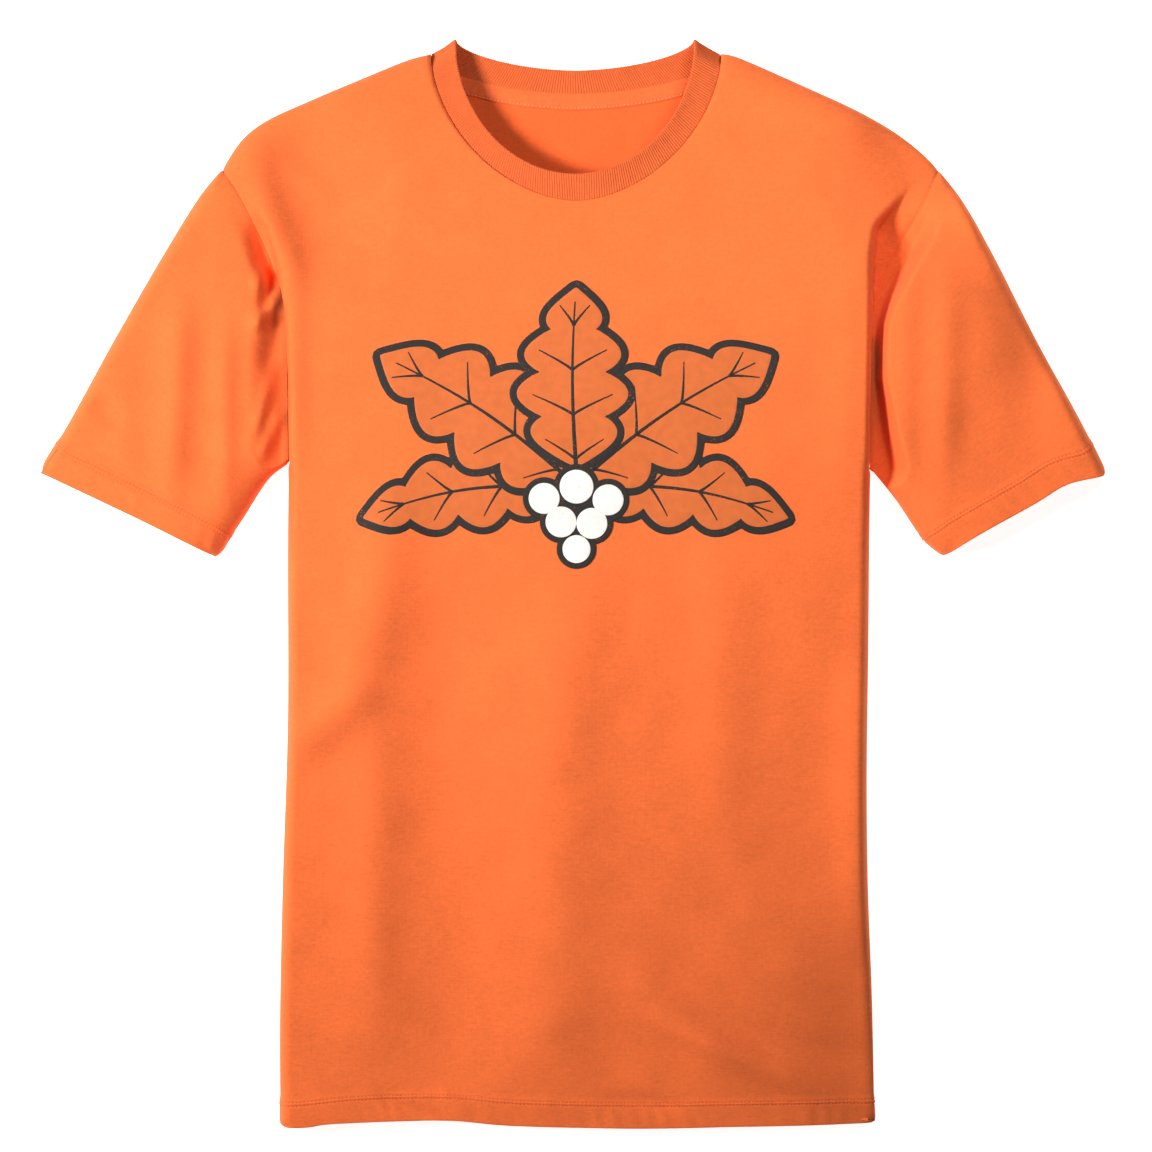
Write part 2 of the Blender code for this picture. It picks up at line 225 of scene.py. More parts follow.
def normals_of(surface: np.ndarray, ring: bool = False) -> np.ndarray:
    """Gives the unit normals of a surface.

    Args:
        surface: An array of columns by rows by three.
        ring: Whether the columns close to a ring, the last one meeting the first.

    Returns:
        An array like the surface, with the normal to the left of up and right of across.
    """
    if ring:
        across = np.roll(surface, -1, 0) - np.roll(surface, 1, 0)
    else:
        across = np.gradient(surface, axis=0)
    normal = np.cross(across, np.gradient(surface, axis=1))
    return normal / np.maximum(np.linalg.norm(normal, axis=2, keepdims=True), 1e-12)


def mesh_object(name: str, points: np.ndarray, faces: np.ndarray) -> bpy.types.Object:
    """Makes a smooth-shaded mesh object.

    Args:
        name: The piece's name.
        points: The vertices, one a row.
        faces: The faces, one a row, all with as many corners.

    Returns:
        The new object, in the scene.
    """
    mesh = bpy.data.meshes.new(name)
    mesh.from_pydata(points.reshape(-1, 3).tolist(), [], faces.tolist())
    mesh.validate()
    mesh.shade_smooth()
    piece = bpy.data.objects.new(name, mesh)
    bpy.context.scene.collection.objects.link(piece)
    return piece


def grid_faces(columns: int, rows: int, ring: bool = False, tube: bool = False) -> np.ndarray:
    """Lists the faces of a grid whose vertices run up each column in turn.

    Args:
        columns: How many columns of vertices there are.
        rows: How many rows of vertices there are.
        ring: Whether the last column meets the first.
        tube: Whether the last row meets the first.

    Returns:
        Four vertex numbers a row.
    """
    column, row = np.meshgrid(
        np.arange(columns if ring else columns - 1),
        np.arange(rows if tube else rows - 1),
        indexing="ij",
    )
    column, row = column.ravel(), row.ravel()
    beside, above = (column + 1) % columns, (row + 1) % rows
    corners = (column, row), (beside, row), (beside, above), (column, above)
    return np.stack([a * rows + b for a, b in corners], axis=1)


def grid_object(
    name: str, surface: np.ndarray, ring: bool = False, tube: bool = False
) -> bpy.types.Object:
    """Makes an object from an array of columns by rows by three."""
    faces = grid_faces(surface.shape[0], surface.shape[1], ring, tube)
    return mesh_object(name, surface, faces)


def give_thickness(piece: bpy.types.Object, thickness: float) -> None:
    """Gives an open surface the thickness of cloth, behind its face."""
    cloth = piece.modifiers.new("Cloth", "SOLIDIFY")
    cloth.thickness = thickness
    cloth.offset = -1.0


# The shirt's form


@dataclass(frozen=True)
class Fold:
    """A soft ridge or valley in laid cloth.

    Attributes:
        start: Where it starts on the plan.
        end: Where it ends.
        half_width: How wide its bell-shaped section is.
        height: How far it stands up, or down if below 0.
        ends: The share of its length that it takes to fade in, and again to fade out.
    """

    start: tuple[float, float]
    end: tuple[float, float]
    half_width: float
    height: float
    ends: float = 0.35

    def at(self, points: np.ndarray) -> np.ndarray:
        """Gives the height that the fold adds at each point of the plan."""
        step = np.subtract(self.end, self.start)
        off = points - self.start
        share = np.clip(off @ step / (step @ step), 0, 1)
        aside = np.linalg.norm(off - share[:, None] * step, axis=1)
        fade = ease(0, self.ends, share) * ease(0, self.ends, 1 - share)
        return self.height * bell(aside, self.half_width) * fade


@dataclass(frozen=True)
class Neckline:
    """A rounded edge round the neck.

    Attributes:
        middle: X of its middle.
        half_width: Half its width.
        point: Y of its two ends, on the shoulders.
        drops: How far its middle lies below them, in front and at the back.
        powers: How full its corners are, in front and at the back: lower is fuller.
    """

    middle: float
    half_width: float
    point: float
    drops: tuple[float, float]
    powers: tuple[float, float]

    def at(self, front: bool, angles: np.ndarray) -> np.ndarray:
        """Gives the points of one half, at angles from 0 at the left end to pi at the right."""
        drop, power = (self.drops[0], self.powers[0]) if front else (self.drops[1], self.powers[1])
        across = np.sign(np.cos(angles)) * np.abs(np.cos(angles)) ** power
        down = np.abs(np.sin(angles)) ** power
        return np.stack([self.middle - self.half_width * across, self.point - drop * down], axis=1)

    def around(self, turn: np.ndarray) -> np.ndarray:
        """Gives points from 0 to pi round the front, and on to two pi round the back."""
        turn = np.mod(turn, math.tau)
        front = turn < np.pi
        angle = np.where(front, turn, math.tau - turn)
        return np.where(front[:, None], self.at(True, angle), self.at(False, angle))


@dataclass(frozen=True)
class Outline:
    """The edges of the shirt's pieces, as they lie on the plan."""

    sides: tuple[Points, Points] = (
        (
            (-0.1984, -0.3722), (-0.2007, -0.3701), (-0.2012, -0.3640), (-0.2016, -0.2999),
            (-0.1996, -0.2037), (-0.1961, -0.0938), (-0.1961, 0.0161), (-0.1955, 0.0828),
        ),
        (
            (0.2038, -0.3702), (0.2061, -0.3682), (0.2066, -0.3620), (0.2051, -0.2861),
            (0.2020, -0.2037), (0.2012, -0.1300), (0.2023, -0.0457), (0.2030, 0.0299),
            (0.2037, 0.0794),
        ),
    )
    armholes: tuple[Points, Points] = (
        (
            (-0.1955, 0.0828), (-0.1961, 0.1398), (-0.1982, 0.1879), (-0.2058, 0.2154),
            (-0.2168, 0.2415), (-0.2291, 0.2662), (-0.2415, 0.2841),
        ),
        (
            (0.2037, 0.0794), (0.2044, 0.1261), (0.2051, 0.1673), (0.2078, 0.1948),
            (0.2161, 0.2195), (0.2277, 0.2387), (0.2387, 0.2580), (0.2508, 0.2841),
        ),
    )
    shoulders: tuple[Points, Points] = (
        (
            (-0.2415, 0.2841), (-0.2277, 0.3047), (-0.2099, 0.3184), (-0.1797, 0.3322),
            (-0.1474, 0.3459), (-0.1150, 0.3592), (-0.0979, 0.3638),
        ),
        (
            (0.2508, 0.2841), (0.2367, 0.2978), (0.2181, 0.3116), (0.1934, 0.3253),
            (0.1638, 0.3390), (0.1150, 0.3606), (0.1013, 0.3638),
        ),
    )
    sleeve_tops: tuple[Points, Points] = (
        (
            (-0.2415, 0.2841), (-0.2580, 0.2635), (-0.2834, 0.2222), (-0.3150, 0.1673),
            (-0.3452, 0.1123), (-0.3612, 0.0860), (-0.3638, 0.0797),
        ),
        (
            (0.2508, 0.2841), (0.2662, 0.2635), (0.2896, 0.2222), (0.3177, 0.1673),
            (0.3473, 0.1123), (0.3612, 0.0850), (0.3638, 0.0787),
        ),
    )
    underarms: tuple[Points, Points] = (
        (
            (-0.1955, 0.0828), (-0.2099, 0.0711), (-0.2277, 0.0436), (-0.2432, 0.0214),
            (-0.2478, 0.0193),
        ),
        (
            (0.2037, 0.0794), (0.2216, 0.0574), (0.2380, 0.0330), (0.2508, 0.0215),
            (0.2556, 0.0197),
        ),
    )
    sleeve_hems: tuple[Points, Points] = (
        (
            (-0.2478, 0.0193), (-0.2964, 0.0436), (-0.3577, 0.0727), (-0.3623, 0.0752),
            (-0.3638, 0.0797),
        ),
        (
            (0.2556, 0.0197), (0.2772, 0.0333), (0.3143, 0.0539), (0.3363, 0.0671),
            (0.3577, 0.0724), (0.3623, 0.0743), (0.3638, 0.0787),
        ),
    )
    hem: Points = (
        (-0.1984, -0.3722), (-0.1810, -0.3714), (-0.1610, -0.3690), (-0.0890, -0.3668),
        (-0.0400, -0.3704), (0.0455, -0.3722), (0.1200, -0.3710), (0.2038, -0.3702),
    )
    seam: Neckline = Neckline(0.0017, 0.0996, 0.3638, (0.1022, 0.0271), (1.11, 1.11))
    free_edge: Neckline = Neckline(0.0010, 0.0824, 0.3755, (0.0955, 0.0221), (1.0, 1.15))


@dataclass
class LaidForm:
    """How high the laid shirt stands at each place of its plan.

    Front and back meet in a fold line a little above the floor. From there the front rises in a
    rounded edge to its full height, and the back sinks to the floor. A valley separates each
    sleeve from the body, deepest at the armpit.

    Attributes:
        outline: The edges of the pieces.
        edge_height: The height of the fold line.
        body_fullness: How far the body's front stands above the fold line, as for the next two.
        body_climb: Where on Y the front starts and stops to gain height, going up from the hem.
        body_half_flat: Half the width over which the body keeps its height.
        sleeve_from: From what distance to the middle the sleeves' height holds.
        side_roll: How wide the rounded edge at a side is, as for the next four.
        crispness: How square the rounded edges are: 2 is a quarter ellipse.
        back_roll: How wide the back's rounded edge is.
        crease_fades: Between what shares of each armhole its valley fades out.
        body_edges: For each side, Y and X of the body's edge over the valley.
        valley_widths: For each side, shares of the armhole and how wide the valley's floor is.
        valley_slopes: The same for how wide its slope up the sleeve is.
        valley_floors: For each side, how high the floor lies, as a share of the full height.
        folds: The broad ridges and valleys.
        creases: The narrow ones.
        waves: Small waves of the cloth: height, and what ripple takes.
        lines: The outline's lines by name, each with many points.
    """

    outline: Outline
    edge_height: float = 0.009
    body_fullness: float = 0.029
    hem_fullness: float = 0.020
    sleeve_fullness: float = 0.022
    body_climb: tuple[float, float] = (-0.373, 0.05)
    body_half_flat: float = 0.15
    sleeve_from: float = 0.27
    side_roll: float = 0.009
    shoulder_roll: float = 0.022
    sleeve_top_roll: float = 0.010
    underarm_roll: float = 0.030
    armhole_roll: float = 0.007
    crispness: float = 2.4
    back_roll: float = 0.014
    crease_fades: tuple[tuple[float, float], tuple[float, float]] = ((0.50, 0.98), (0.72, 0.98))
    body_edges: tuple[Points, Points] = (
        (
            (0.0828, -0.1955), (0.1398, -0.1961), (0.1790, -0.1984), (0.2095, -0.2024),
            (0.2430, -0.2100), (0.2700, -0.2270), (0.2841, -0.2415),
        ),
        (
            (0.0794, 0.2037), (0.1261, 0.2044), (0.1673, 0.2051), (0.2250, 0.2060),
            (0.2450, 0.2085), (0.2700, 0.2300), (0.2841, 0.2508),
        ),
    )
    valley_widths: tuple[Points, Points] = (
        ((0.0, 0.004), (0.15, 0.001), (0.40, 0.0), (1.0, 0.0)),
        (
            (0.0, 0.013), (0.12, 0.007), (0.28, 0.002), (0.45, 0.002), (0.62, 0.007),
            (0.80, 0.007), (1.0, 0.0),
        ),
    )
    valley_slopes: tuple[Points, Points] = (
        ((0.0, 0.024), (0.35, 0.026), (0.62, 0.016), (1.0, 0.012)),
        ((0.0, 0.014), (0.28, 0.008), (0.45, 0.008), (0.65, 0.012), (1.0, 0.012)),
    )
    valley_floors: tuple[float, float] = (0.42, 0.0)
    folds: tuple[Fold, ...] = (
        Fold((-0.250, 0.370), (0.250, 0.370), 0.160, -0.0180),
        Fold((-0.250, 0.280), (-0.160, 0.330), 0.026, -0.0050),
        Fold((-0.190, 0.345), (-0.158, 0.190), 0.040, -0.0130, 0.4),
        Fold((0.222, 0.340), (0.262, 0.240), 0.044, -0.0130, 0.4),
        Fold((0.200, 0.328), (0.254, 0.268), 0.020, -0.0040),
        Fold((-0.226, 0.316), (-0.188, 0.190), 0.012, 0.0056),
        Fold((-0.192, 0.270), (-0.190, 0.040), 0.010, 0.0036),
        Fold((0.186, 0.270), (0.184, 0.040), 0.014, 0.0020),
        Fold((-0.118, 0.090), (-0.152, -0.120), 0.022, 0.0062),
        Fold((-0.132, -0.060), (-0.204, -0.124), 0.016, 0.0064),
        Fold((-0.136, -0.040), (-0.138, -0.360), 0.018, 0.0036),
        Fold((-0.088, 0.030), (-0.086, -0.372), 0.034, -0.0064, 0.2),
        Fold((-0.006, 0.030), (-0.012, -0.372), 0.030, 0.0058, 0.2),
        Fold((0.098, 0.080), (0.104, -0.220), 0.020, 0.0036),
        Fold((0.196, -0.010), (0.196, -0.275), 0.016, 0.0060),
        Fold((0.200, -0.150), (0.222, -0.560), 0.044, -0.0150, 0.5),
        Fold((0.000, -0.235), (0.140, -0.355), 0.016, 0.0046),
        Fold((-0.266, 0.220), (-0.276, 0.030), 0.011, 0.0060),
        Fold((-0.238, 0.200), (-0.238, 0.030), 0.008, 0.0036),
        Fold((0.227, 0.245), (0.223, 0.040), 0.010, 0.0022),
        Fold((0.254, 0.235), (0.252, 0.045), 0.011, 0.0032),
        Fold((0.236, 0.260), (0.246, 0.060), 0.060, 0.0075),
        Fold((0.258, 0.274), (0.290, 0.236), 0.013, 0.0056),
        Fold((0.302, 0.240), (0.324, 0.115), 0.022, -0.0084),
        Fold((0.326, 0.150), (0.350, 0.078), 0.016, 0.0036),
    )
    creases: tuple[Fold, ...] = (
        Fold((-0.2200, 0.2540), (-0.2060, 0.2040), 0.0052, -0.0060),
        Fold((-0.2060, 0.2330), (-0.2170, 0.1940), 0.0045, 0.0040),
        Fold((-0.2020, 0.2260), (-0.2140, 0.1730), 0.0044, -0.0070),
        Fold((-0.1970, 0.2050), (-0.2210, 0.1690), 0.0046, 0.0080),
        Fold((-0.2000, 0.1920), (-0.2100, 0.1400), 0.0060, -0.0050),
        Fold((-0.1970, 0.1240), (-0.2150, 0.0800), 0.0048, 0.0060),
        Fold((-0.2040, 0.1500), (-0.2190, 0.0920), 0.0044, 0.0036),
        Fold((0.2250, 0.2620), (0.2180, 0.2180), 0.0030, 0.0030),
        Fold((0.2300, 0.2580), (0.2250, 0.2360), 0.0026, 0.0020),
        Fold((0.0250, -0.2840), (0.2000, -0.3620), 0.0080, 0.0034),
        Fold((0.0600, -0.2900), (0.2100, -0.3320), 0.0110, -0.0022),
        Fold((-0.0300, -0.2860), (0.0600, -0.3540), 0.0120, -0.0015),
        Fold((0.0100, -0.3510), (0.0850, -0.3590), 0.0060, -0.0018),
        Fold((-0.1400, -0.3460), (-0.0900, -0.3700), 0.0050, -0.0024),
        Fold((-0.0960, -0.3420), (-0.0680, -0.3660), 0.0050, 0.0016),
        Fold((-0.3220, 0.1620), (-0.2960, 0.0580), 0.0120, 0.0020),
        Fold((-0.3290, 0.1300), (-0.3050, 0.1020), 0.0080, -0.0026),
        Fold((-0.2180, 0.3040), (-0.1590, 0.2580), 0.0090, 0.0016),
    )
    waves: tuple[tuple[float, float, int, float], ...] = (
        (0.45 * MM, 0.085, 11, 2.2),
        (0.18 * MM, 0.034, 12, 1.4),
        (0.035 * MM, 0.013, 13, 1.0),
    )
    lines: dict[str, list[np.ndarray]] = field(init=False)

    def __post_init__(self) -> None:
        """Draws the outline's smooth lines."""
        names = ("sides", "armholes", "shoulders", "sleeve_tops", "underarms", "sleeve_hems")
        self.lines = {n: [smooth_line(p) for p in getattr(self.outline, n)] for n in names}
        self.lines["hem"] = [smooth_line(self.outline.hem)]
        ends = self.outline.free_edge.at(True, np.array([0, np.pi]))
        self.lines["tops"] = [
            np.vstack([line, tip]) for line, tip in zip(self.lines["shoulders"], ends)
        ]

    def rolled(self, near: np.ndarray) -> np.ndarray:
        """Gives how high the cloth has risen after a share of a roll, both from 0 to 1."""
        left = 1 - np.clip(near, 0, 1)
        return (1 - left**self.crispness) ** (1 / self.crispness)

    def rise(self, points: np.ndarray, sleeve: bool) -> np.ndarray:
        """Gives 0 on a fold line, and 1 where the front has its full height."""
        total = np.ones(len(points))
        for name, reach in (
            ("sides", self.side_roll),
            ("tops", self.shoulder_roll),
            ("sleeve_tops", self.sleeve_top_roll),
            ("underarms", self.underarm_roll if sleeve else self.side_roll),
        ):
            for line in self.lines[name]:
                total = np.minimum(total, self.rolled(distances(points, line)[0] / reach))
        for k, side in enumerate(Side):
            far, place = distances(points, self.lines["armholes"][k])
            bottom = np.sqrt(1 - (1 - ease(*self.crease_fades[k], place) ** 2) ** 2)
            bottom = np.maximum(bottom, self.valley_floors[k])
            if sleeve:
                width = np.interp(place, *np.transpose(self.valley_widths[k]))
                slope = np.interp(place, *np.transpose(self.valley_slopes[k]))
                climb = ease(0, 1, (far - width) / slope)
            else:
                edge = np.interp(points[:, 1], *np.transpose(self.body_edges[k]))
                climb = self.rolled((edge - points[:, 0]) * side.value / self.armhole_roll)
                climb = np.where(points[:, 1] < self.body_edges[k][0][0], 1, climb)
            total = np.minimum(total, bottom + (1 - bottom) * climb)
        return total

    def fullness(self, points: np.ndarray) -> np.ndarray:
        """Gives how far the front stands above the fold line where no edge is near."""
        x, y = points.T
        from_hem = ease(*self.body_climb, y)
        body = self.hem_fullness + (self.body_fullness - self.hem_fullness) * from_hem
        crown = np.cos(np.clip(x / self.body_half_flat, -2, 2) * np.pi / 2)
        body = body * (0.93 + 0.07 * crown)
        outwards = ease(self.body_half_flat, self.sleeve_from, np.abs(x))
        return body + (self.sleeve_fullness - body) * outwards

    def unevenness(self, points: np.ndarray) -> np.ndarray:
        """Gives the small waves of laid cloth, in metres."""
        return sum(height * ripple(points, *wave) for height, *wave in self.waves)

    def front(self, points: np.ndarray, sleeve: bool = False) -> np.ndarray:
        """Gives the height of the front's outer surface, for points of the body or a sleeve."""
        extra = sum(fold.at(points) for fold in self.folds + self.creases)
        full = self.fullness(points) + extra + self.unevenness(points)
        return self.edge_height + self.rise(points, sleeve) * full

    def back(self, points: np.ndarray) -> np.ndarray:
        """Gives the height of the back's outer surface, on the floor."""
        near = np.full(len(points), np.inf)
        for name in ("sides", "tops", "sleeve_tops", "underarms"):
            for line in self.lines[name]:
                near = np.minimum(near, distances(points, line)[0] / self.back_roll)
        near = np.clip(near, 0, 1)
        level = 0.00125 + 0.00025 * np.clip(ripple(points, 0.060, 21, 1.5), -1, 1)
        return self.edge_height * (1 - np.sqrt(1 - (1 - near) ** 2)) + level * near


# Finishes


class Recipe:
    """A material's node tree while it is put together, with real sizes in metres."""

    def __init__(self, name: str) -> None:
        """Starts the tree with a shader and an output."""
        self.material = bpy.data.materials.new(name)
        self.material.use_nodes = True
        self.tree = self.material.node_tree
        self.tree.nodes.clear()
        self.shader = self.add("ShaderNodeBsdfPrincipled")
        self.add("ShaderNodeOutputMaterial", inputs={"Surface": self.shader.outputs[0]})

    def add(
        self, kind: str, settings: dict | None = None, inputs: dict | None = None
    ) -> bpy.types.Node:
        """Adds a node.

        Args:
            kind: The node's type.
            settings: Its own settings.
            inputs: For its inputs, by name or number, either a value or the socket to link.

        Returns:
            The new node.
        """
        node = self.tree.nodes.new(kind)
        for name, value in (settings or {}).items():
            setattr(node, name, value)
        for name, value in (inputs or {}).items():
            if isinstance(value, Socket):
                self.tree.links.new(value, node.inputs[name])
            else:
                node.inputs[name].default_value = value
        return node

    def math(self, operation: str, first: Socket | float, second: Socket | float = 0.0) -> Socket:
        """Adds a calculation with one or two values."""
        node = self.add("ShaderNodeMath", {"operation": operation}, {0: first, 1: second})
        return node.outputs[0]

    def place(self, cell: tuple[float, float, float], turn: float = 0.0) -> Socket:
        """Gives the place on the object in units of a cell.

        Args:
            cell: The cell's sizes, in metres.
            turn: How far the cloth's grain is turned about Z, in radians.

        Returns:
            A vector socket.
        """
        spot = self.add("ShaderNodeTexCoord").outputs["Object"]
        turned = self.add(
            "ShaderNodeVectorRotate", {"rotation_type": "Z_AXIS"}, {"Vector": spot, "Angle": -turn}
        )
        rates = tuple(1 / size for size in cell)
        scaled = self.add(
            "ShaderNodeVectorMath", {"operation": "MULTIPLY"}, {0: turned.outputs[0], 1: rates}
        )
        return scaled.outputs[0]

    def noise(
        self, cell: tuple[float, float, float], turn: float = 0.0, detail: float = 2.0
    ) -> Socket:
        """Gives smooth noise from 0 to 1 whose spots are as large as a cell."""
        inputs = {"Vector": self.place(cell, turn), "Scale": 1.0, "Detail": detail}
        return self.add("ShaderNodeTexNoise", inputs=inputs).outputs["Fac"]

    def between(
        self, value: Socket, low: float, high: float, start: float = 0.0, end: float = 1.0
    ) -> Socket:
        """Turns values from low to high into values from start to end, and clamps them."""
        inputs = {0: value, 1: low, 2: high, 3: start, 4: end}
        smooth = {"interpolation_type": "SMOOTHSTEP"}
        return self.add("ShaderNodeMapRange", smooth, inputs).outputs[0]

    def shaded(self, colour: str, brightness: Socket) -> Socket:
        """Gives a colour, made lighter or darker."""
        plain = linear(colour)[:3]
        node = self.add(
            "ShaderNodeVectorMath", {"operation": "SCALE"}, {0: plain, "Scale": brightness}
        )
        return node.outputs[0]

    def blend(self, share: Socket, first: Socket | str, second: Socket | str) -> Socket:
        """Mixes two colours: the first where the share is 0, the second where it is 1."""
        ends = [linear(c) if isinstance(c, str) else c for c in (first, second)]
        node = self.add(
            "ShaderNodeMix", {"data_type": "RGBA"}, {0: share, 6: ends[0], 7: ends[1]}
        )
        return node.outputs[2]

    def relief(self, height: Socket, depth: float, strength: float) -> None:
        """Gives the surface a fine relief.

        Args:
            height: The relief's height, from 0 to 1.
            depth: How much a height of 1 is, in metres.
            strength: How much of it shows.
        """
        inputs = {"Height": height, "Distance": depth, "Strength": strength}
        bump = self.add("ShaderNodeBump", inputs=inputs)
        self.tree.links.new(bump.outputs[0], self.shader.inputs["Normal"])

    def cotton(self, colour: str, *parts: Socket) -> bpy.types.Material:
        """Finishes the material as matt fuzzy cotton, lightened or darkened by the parts' sum."""
        bright = parts[0]
        for part in (*parts[1:], 1.0):
            bright = self.math("ADD", bright, part)
        self.set(base_color=self.shaded(colour, bright), roughness=0.92, specular_ior_level=0.2)
        self.set(sheen_weight=0.22, sheen_roughness=0.5, sheen_tint=linear("#ffb88f"))
        return self.material

    def set(self, **values: float | Socket | tuple) -> None:
        """Sets the shader's inputs, whose names are given with underscores."""
        for name, value in values.items():
            socket = self.shader.inputs[name.replace("_", " ").title().replace("Ior", "IOR")]
            if isinstance(value, Socket):
                self.tree.links.new(value, socket)
            else:
                socket.default_value = value


@dataclass(frozen=True)
class Jersey:
    """Carded cotton, knitted as single jersey and dyed orange in the piece.

    Carded yarn is uneven, so thick and thin places show as short pale and dark streaks along the
    courses. The dye takes a little unevenly, which gives soft mottling, and loose fibre ends
    scatter light at grazing angles.

    Attributes:
        name: The material's name.
        turn: How far the grain is turned about Z, in radians.
        colour: The dyed colour; the back panel and the neck tape get deeper ones, as painted
            shade.
        wale: The width of a column of loops, drawn a little coarser than the real 0.75 mm.
        course: The height of a row of loops, drawn coarser than the real 0.55 mm.
    """

    name: str
    turn: float = 0.0
    colour: str = "#f27038"
    wale: float = 0.9 * MM
    course: float = 0.75 * MM

    def build(self) -> bpy.types.Material:
        """Makes the material."""
        recipe = Recipe(self.name)
        streak = recipe.noise((6 * MM, 0.8 * MM, 6 * MM), self.turn, 1.0)
        thick = recipe.between(streak, 0.58, 0.74, 0.0, 0.07)
        thin = recipe.between(streak, 0.26, 0.42, -0.09, 0.0)
        mottle = recipe.between(recipe.noise((24 * MM,) * 3, 0.0, 3.0), 0.3, 0.7, -0.03, 0.03)
        fuzz = recipe.between(recipe.noise((2.2 * MM,) * 3, 0.0, 4.0), 0.25, 0.75, -0.05, 0.05)
        height = recipe.math("ADD", self.loops(recipe), streak)
        recipe.relief(height, 0.11 * MM, 0.5)
        return recipe.cotton(self.colour, thick, thin, mottle, fuzz)

    def loops(self, recipe: Recipe) -> Socket:
        """Gives the knit's columns of loops, from 0 to 1."""
        place = recipe.place((self.wale / math.tau, self.course / math.tau, 1.0), self.turn)
        parts = recipe.add("ShaderNodeSeparateXYZ", inputs={0: place})
        wales = recipe.math("SINE", parts.outputs[0])
        courses = recipe.math("SINE", parts.outputs[1])
        both = recipe.math("ADD", wales, recipe.math("MULTIPLY", courses, 0.5))
        return recipe.math("ADD", recipe.math("MULTIPLY", both, 0.33), 0.5)


@dataclass(frozen=True)
class RibKnit:
    """The same yarn and dye, knitted as a one-by-one rib.

    The ribs stand so close that the light between them is lost; that shade is painted into its
    colour, a little deeper than the jersey's.
    """

    name: str = "orange_rib_knit"
    # Deeper than the jersey's colour: painted shade between the ribs.
    colour: str = "#d86333"

    def build(self) -> bpy.types.Material:
        """Makes the material."""
        recipe = Recipe(self.name)
        mottle = recipe.between(recipe.noise((9 * MM,) * 3), 0.3, 0.7, -0.03, 0.03)
        fuzz = recipe.between(recipe.noise((1.1 * MM,) * 3, 0.0, 3.0), 0.25, 0.75, -0.07, 0.07)
        recipe.relief(recipe.noise((0.5 * MM,) * 3), 0.15 * MM, 0.4)
        return recipe.cotton(self.colour, mottle, fuzz)


@dataclass(frozen=True)
class Thread:
    """Spun polyester sewing thread, orange like the cloth and a little lighter in colour."""

    name: str = "orange_thread"
    colour: str = "#fd7a42"

    def build(self) -> bpy.types.Material:
        """Makes the material."""
        recipe = Recipe(self.name)
        plies = recipe.noise((0.35 * MM,) * 3, 0.0, 1.0)
        recipe.relief(plies, 0.08 * MM, 0.6)
        bright = recipe.between(plies, 0.2, 0.8, 0.85, 1.12)
        recipe.set(base_color=recipe.shaded(self.colour, bright), roughness=0.6)
        recipe.set(specular_ior_level=0.35)
        return recipe.material


@dataclass(frozen=True)
class Ink:
    """Water-based screen ink, printed through a mesh on to the knit.

    The ink sinks between the loops, so the cloth shows through in fine specks, and washing has
    worn it a little unevenly.
    """

    name: str
    colour: str
    cloth: str = "#f27038"
    worn: float = 0.5

    def build(self) -> bpy.types.Material:
        """Makes the material."""
        recipe = Recipe(self.name)
        specks = recipe.between(recipe.noise((1.3 * MM,) * 3, 0.0, 3.0), 0.60, 0.74)
        patches = recipe.between(recipe.noise((30 * MM,) * 3), 0.40, 0.68)
        share = recipe.math("MULTIPLY", recipe.math("MULTIPLY", specks, patches), self.worn)
        tone = recipe.between(recipe.noise((6 * MM,) * 3, 0.0, 4.0), 0.25, 0.75, 0.94, 1.05)
        solid = recipe.shaded(self.colour, tone)
        recipe.relief(recipe.noise((0.8 * MM,) * 3), 0.12 * MM, 0.4)
        recipe.set(base_color=recipe.blend(share, solid, self.cloth), roughness=0.72)
        recipe.set(specular_ior_level=0.3)
        return recipe.material


@dataclass(frozen=True)
class OpalSheet:
    """Cast opal acrylic, lit from behind, as on a photographer's table.

    The glow fills shadows on it, so they stay faint. The sheet's thickness varies a little, which
    the eye reads as the softest of clouds.
    """

    name: str = "opal_acrylic"
    colour: str = "#f7f6f5"
    glow: float = 1.0

    def build(self) -> bpy.types.Material:
        """Makes the material."""
        recipe = Recipe(self.name)
        tone = recipe.between(recipe.noise((0.4,) * 3, 0.0, 3.0), 0.3, 0.7, 0.99, 1.0)
        recipe.relief(recipe.noise((3 * MM,) * 3), 0.05 * MM, 0.2)
        shade = recipe.shaded(self.colour, tone)
        recipe.set(base_color=shade, roughness=0.8, specular_ior_level=0.2)
        recipe.set(emission_color=shade, emission_strength=self.glow)
        return recipe.material


# Pieces of cloth


def spaced(roll: float, rolled: int, plain: int) -> np.ndarray:
    """Spaces grid lines so that they are dense where the cloth rolls over at both ends.

    Args:
        roll: The share of the width that each roll takes.
        rolled: How many steps there are in each roll.
        plain: How many steps there are between the rolls.

    Returns:
        Shares of the width, from 0 to 1.
    """
    turn = np.linspace(0, np.pi / 2, rolled + 1)[:-1]
    start = roll * (1 - np.cos(turn))
    return np.concatenate([start, np.linspace(roll, 1 - roll, plain + 1), 1 - start[::-1]])


def stretch_of(line: np.ndarray, start: float, end: float, count: int = 200) -> np.ndarray:
    """Gives the part of a line between two distances from its start."""
    return along(line, np.linspace(start, end, count) / reach_along(line)[-1])


def moved_line(
    line: np.ndarray, share: np.ndarray, start: np.ndarray, end: np.ndarray
) -> np.ndarray:
    """Draws a line between two new ends that bends as another one does, save at its corners."""
    corner = 0.14
    plain = line[0] + share[:, None] * (line[-1] - line[0])
    away = ease(0, corner, share) * (1 - ease(1 - corner, 1, share))
    return start + share[:, None] * (end - start) + (line - plain) * away[:, None]


def area_of(surface: np.ndarray, ring: bool = False) -> float:
    """Measures the area of a surface in square metres."""
    if ring:
        surface = np.concatenate([surface, surface[:1]])
    first = surface[1:, 1:] - surface[:-1, :-1]
    second = surface[1:, :-1] - surface[:-1, 1:]
    return float(np.linalg.norm(np.cross(first, second), axis=2).sum() / 2)


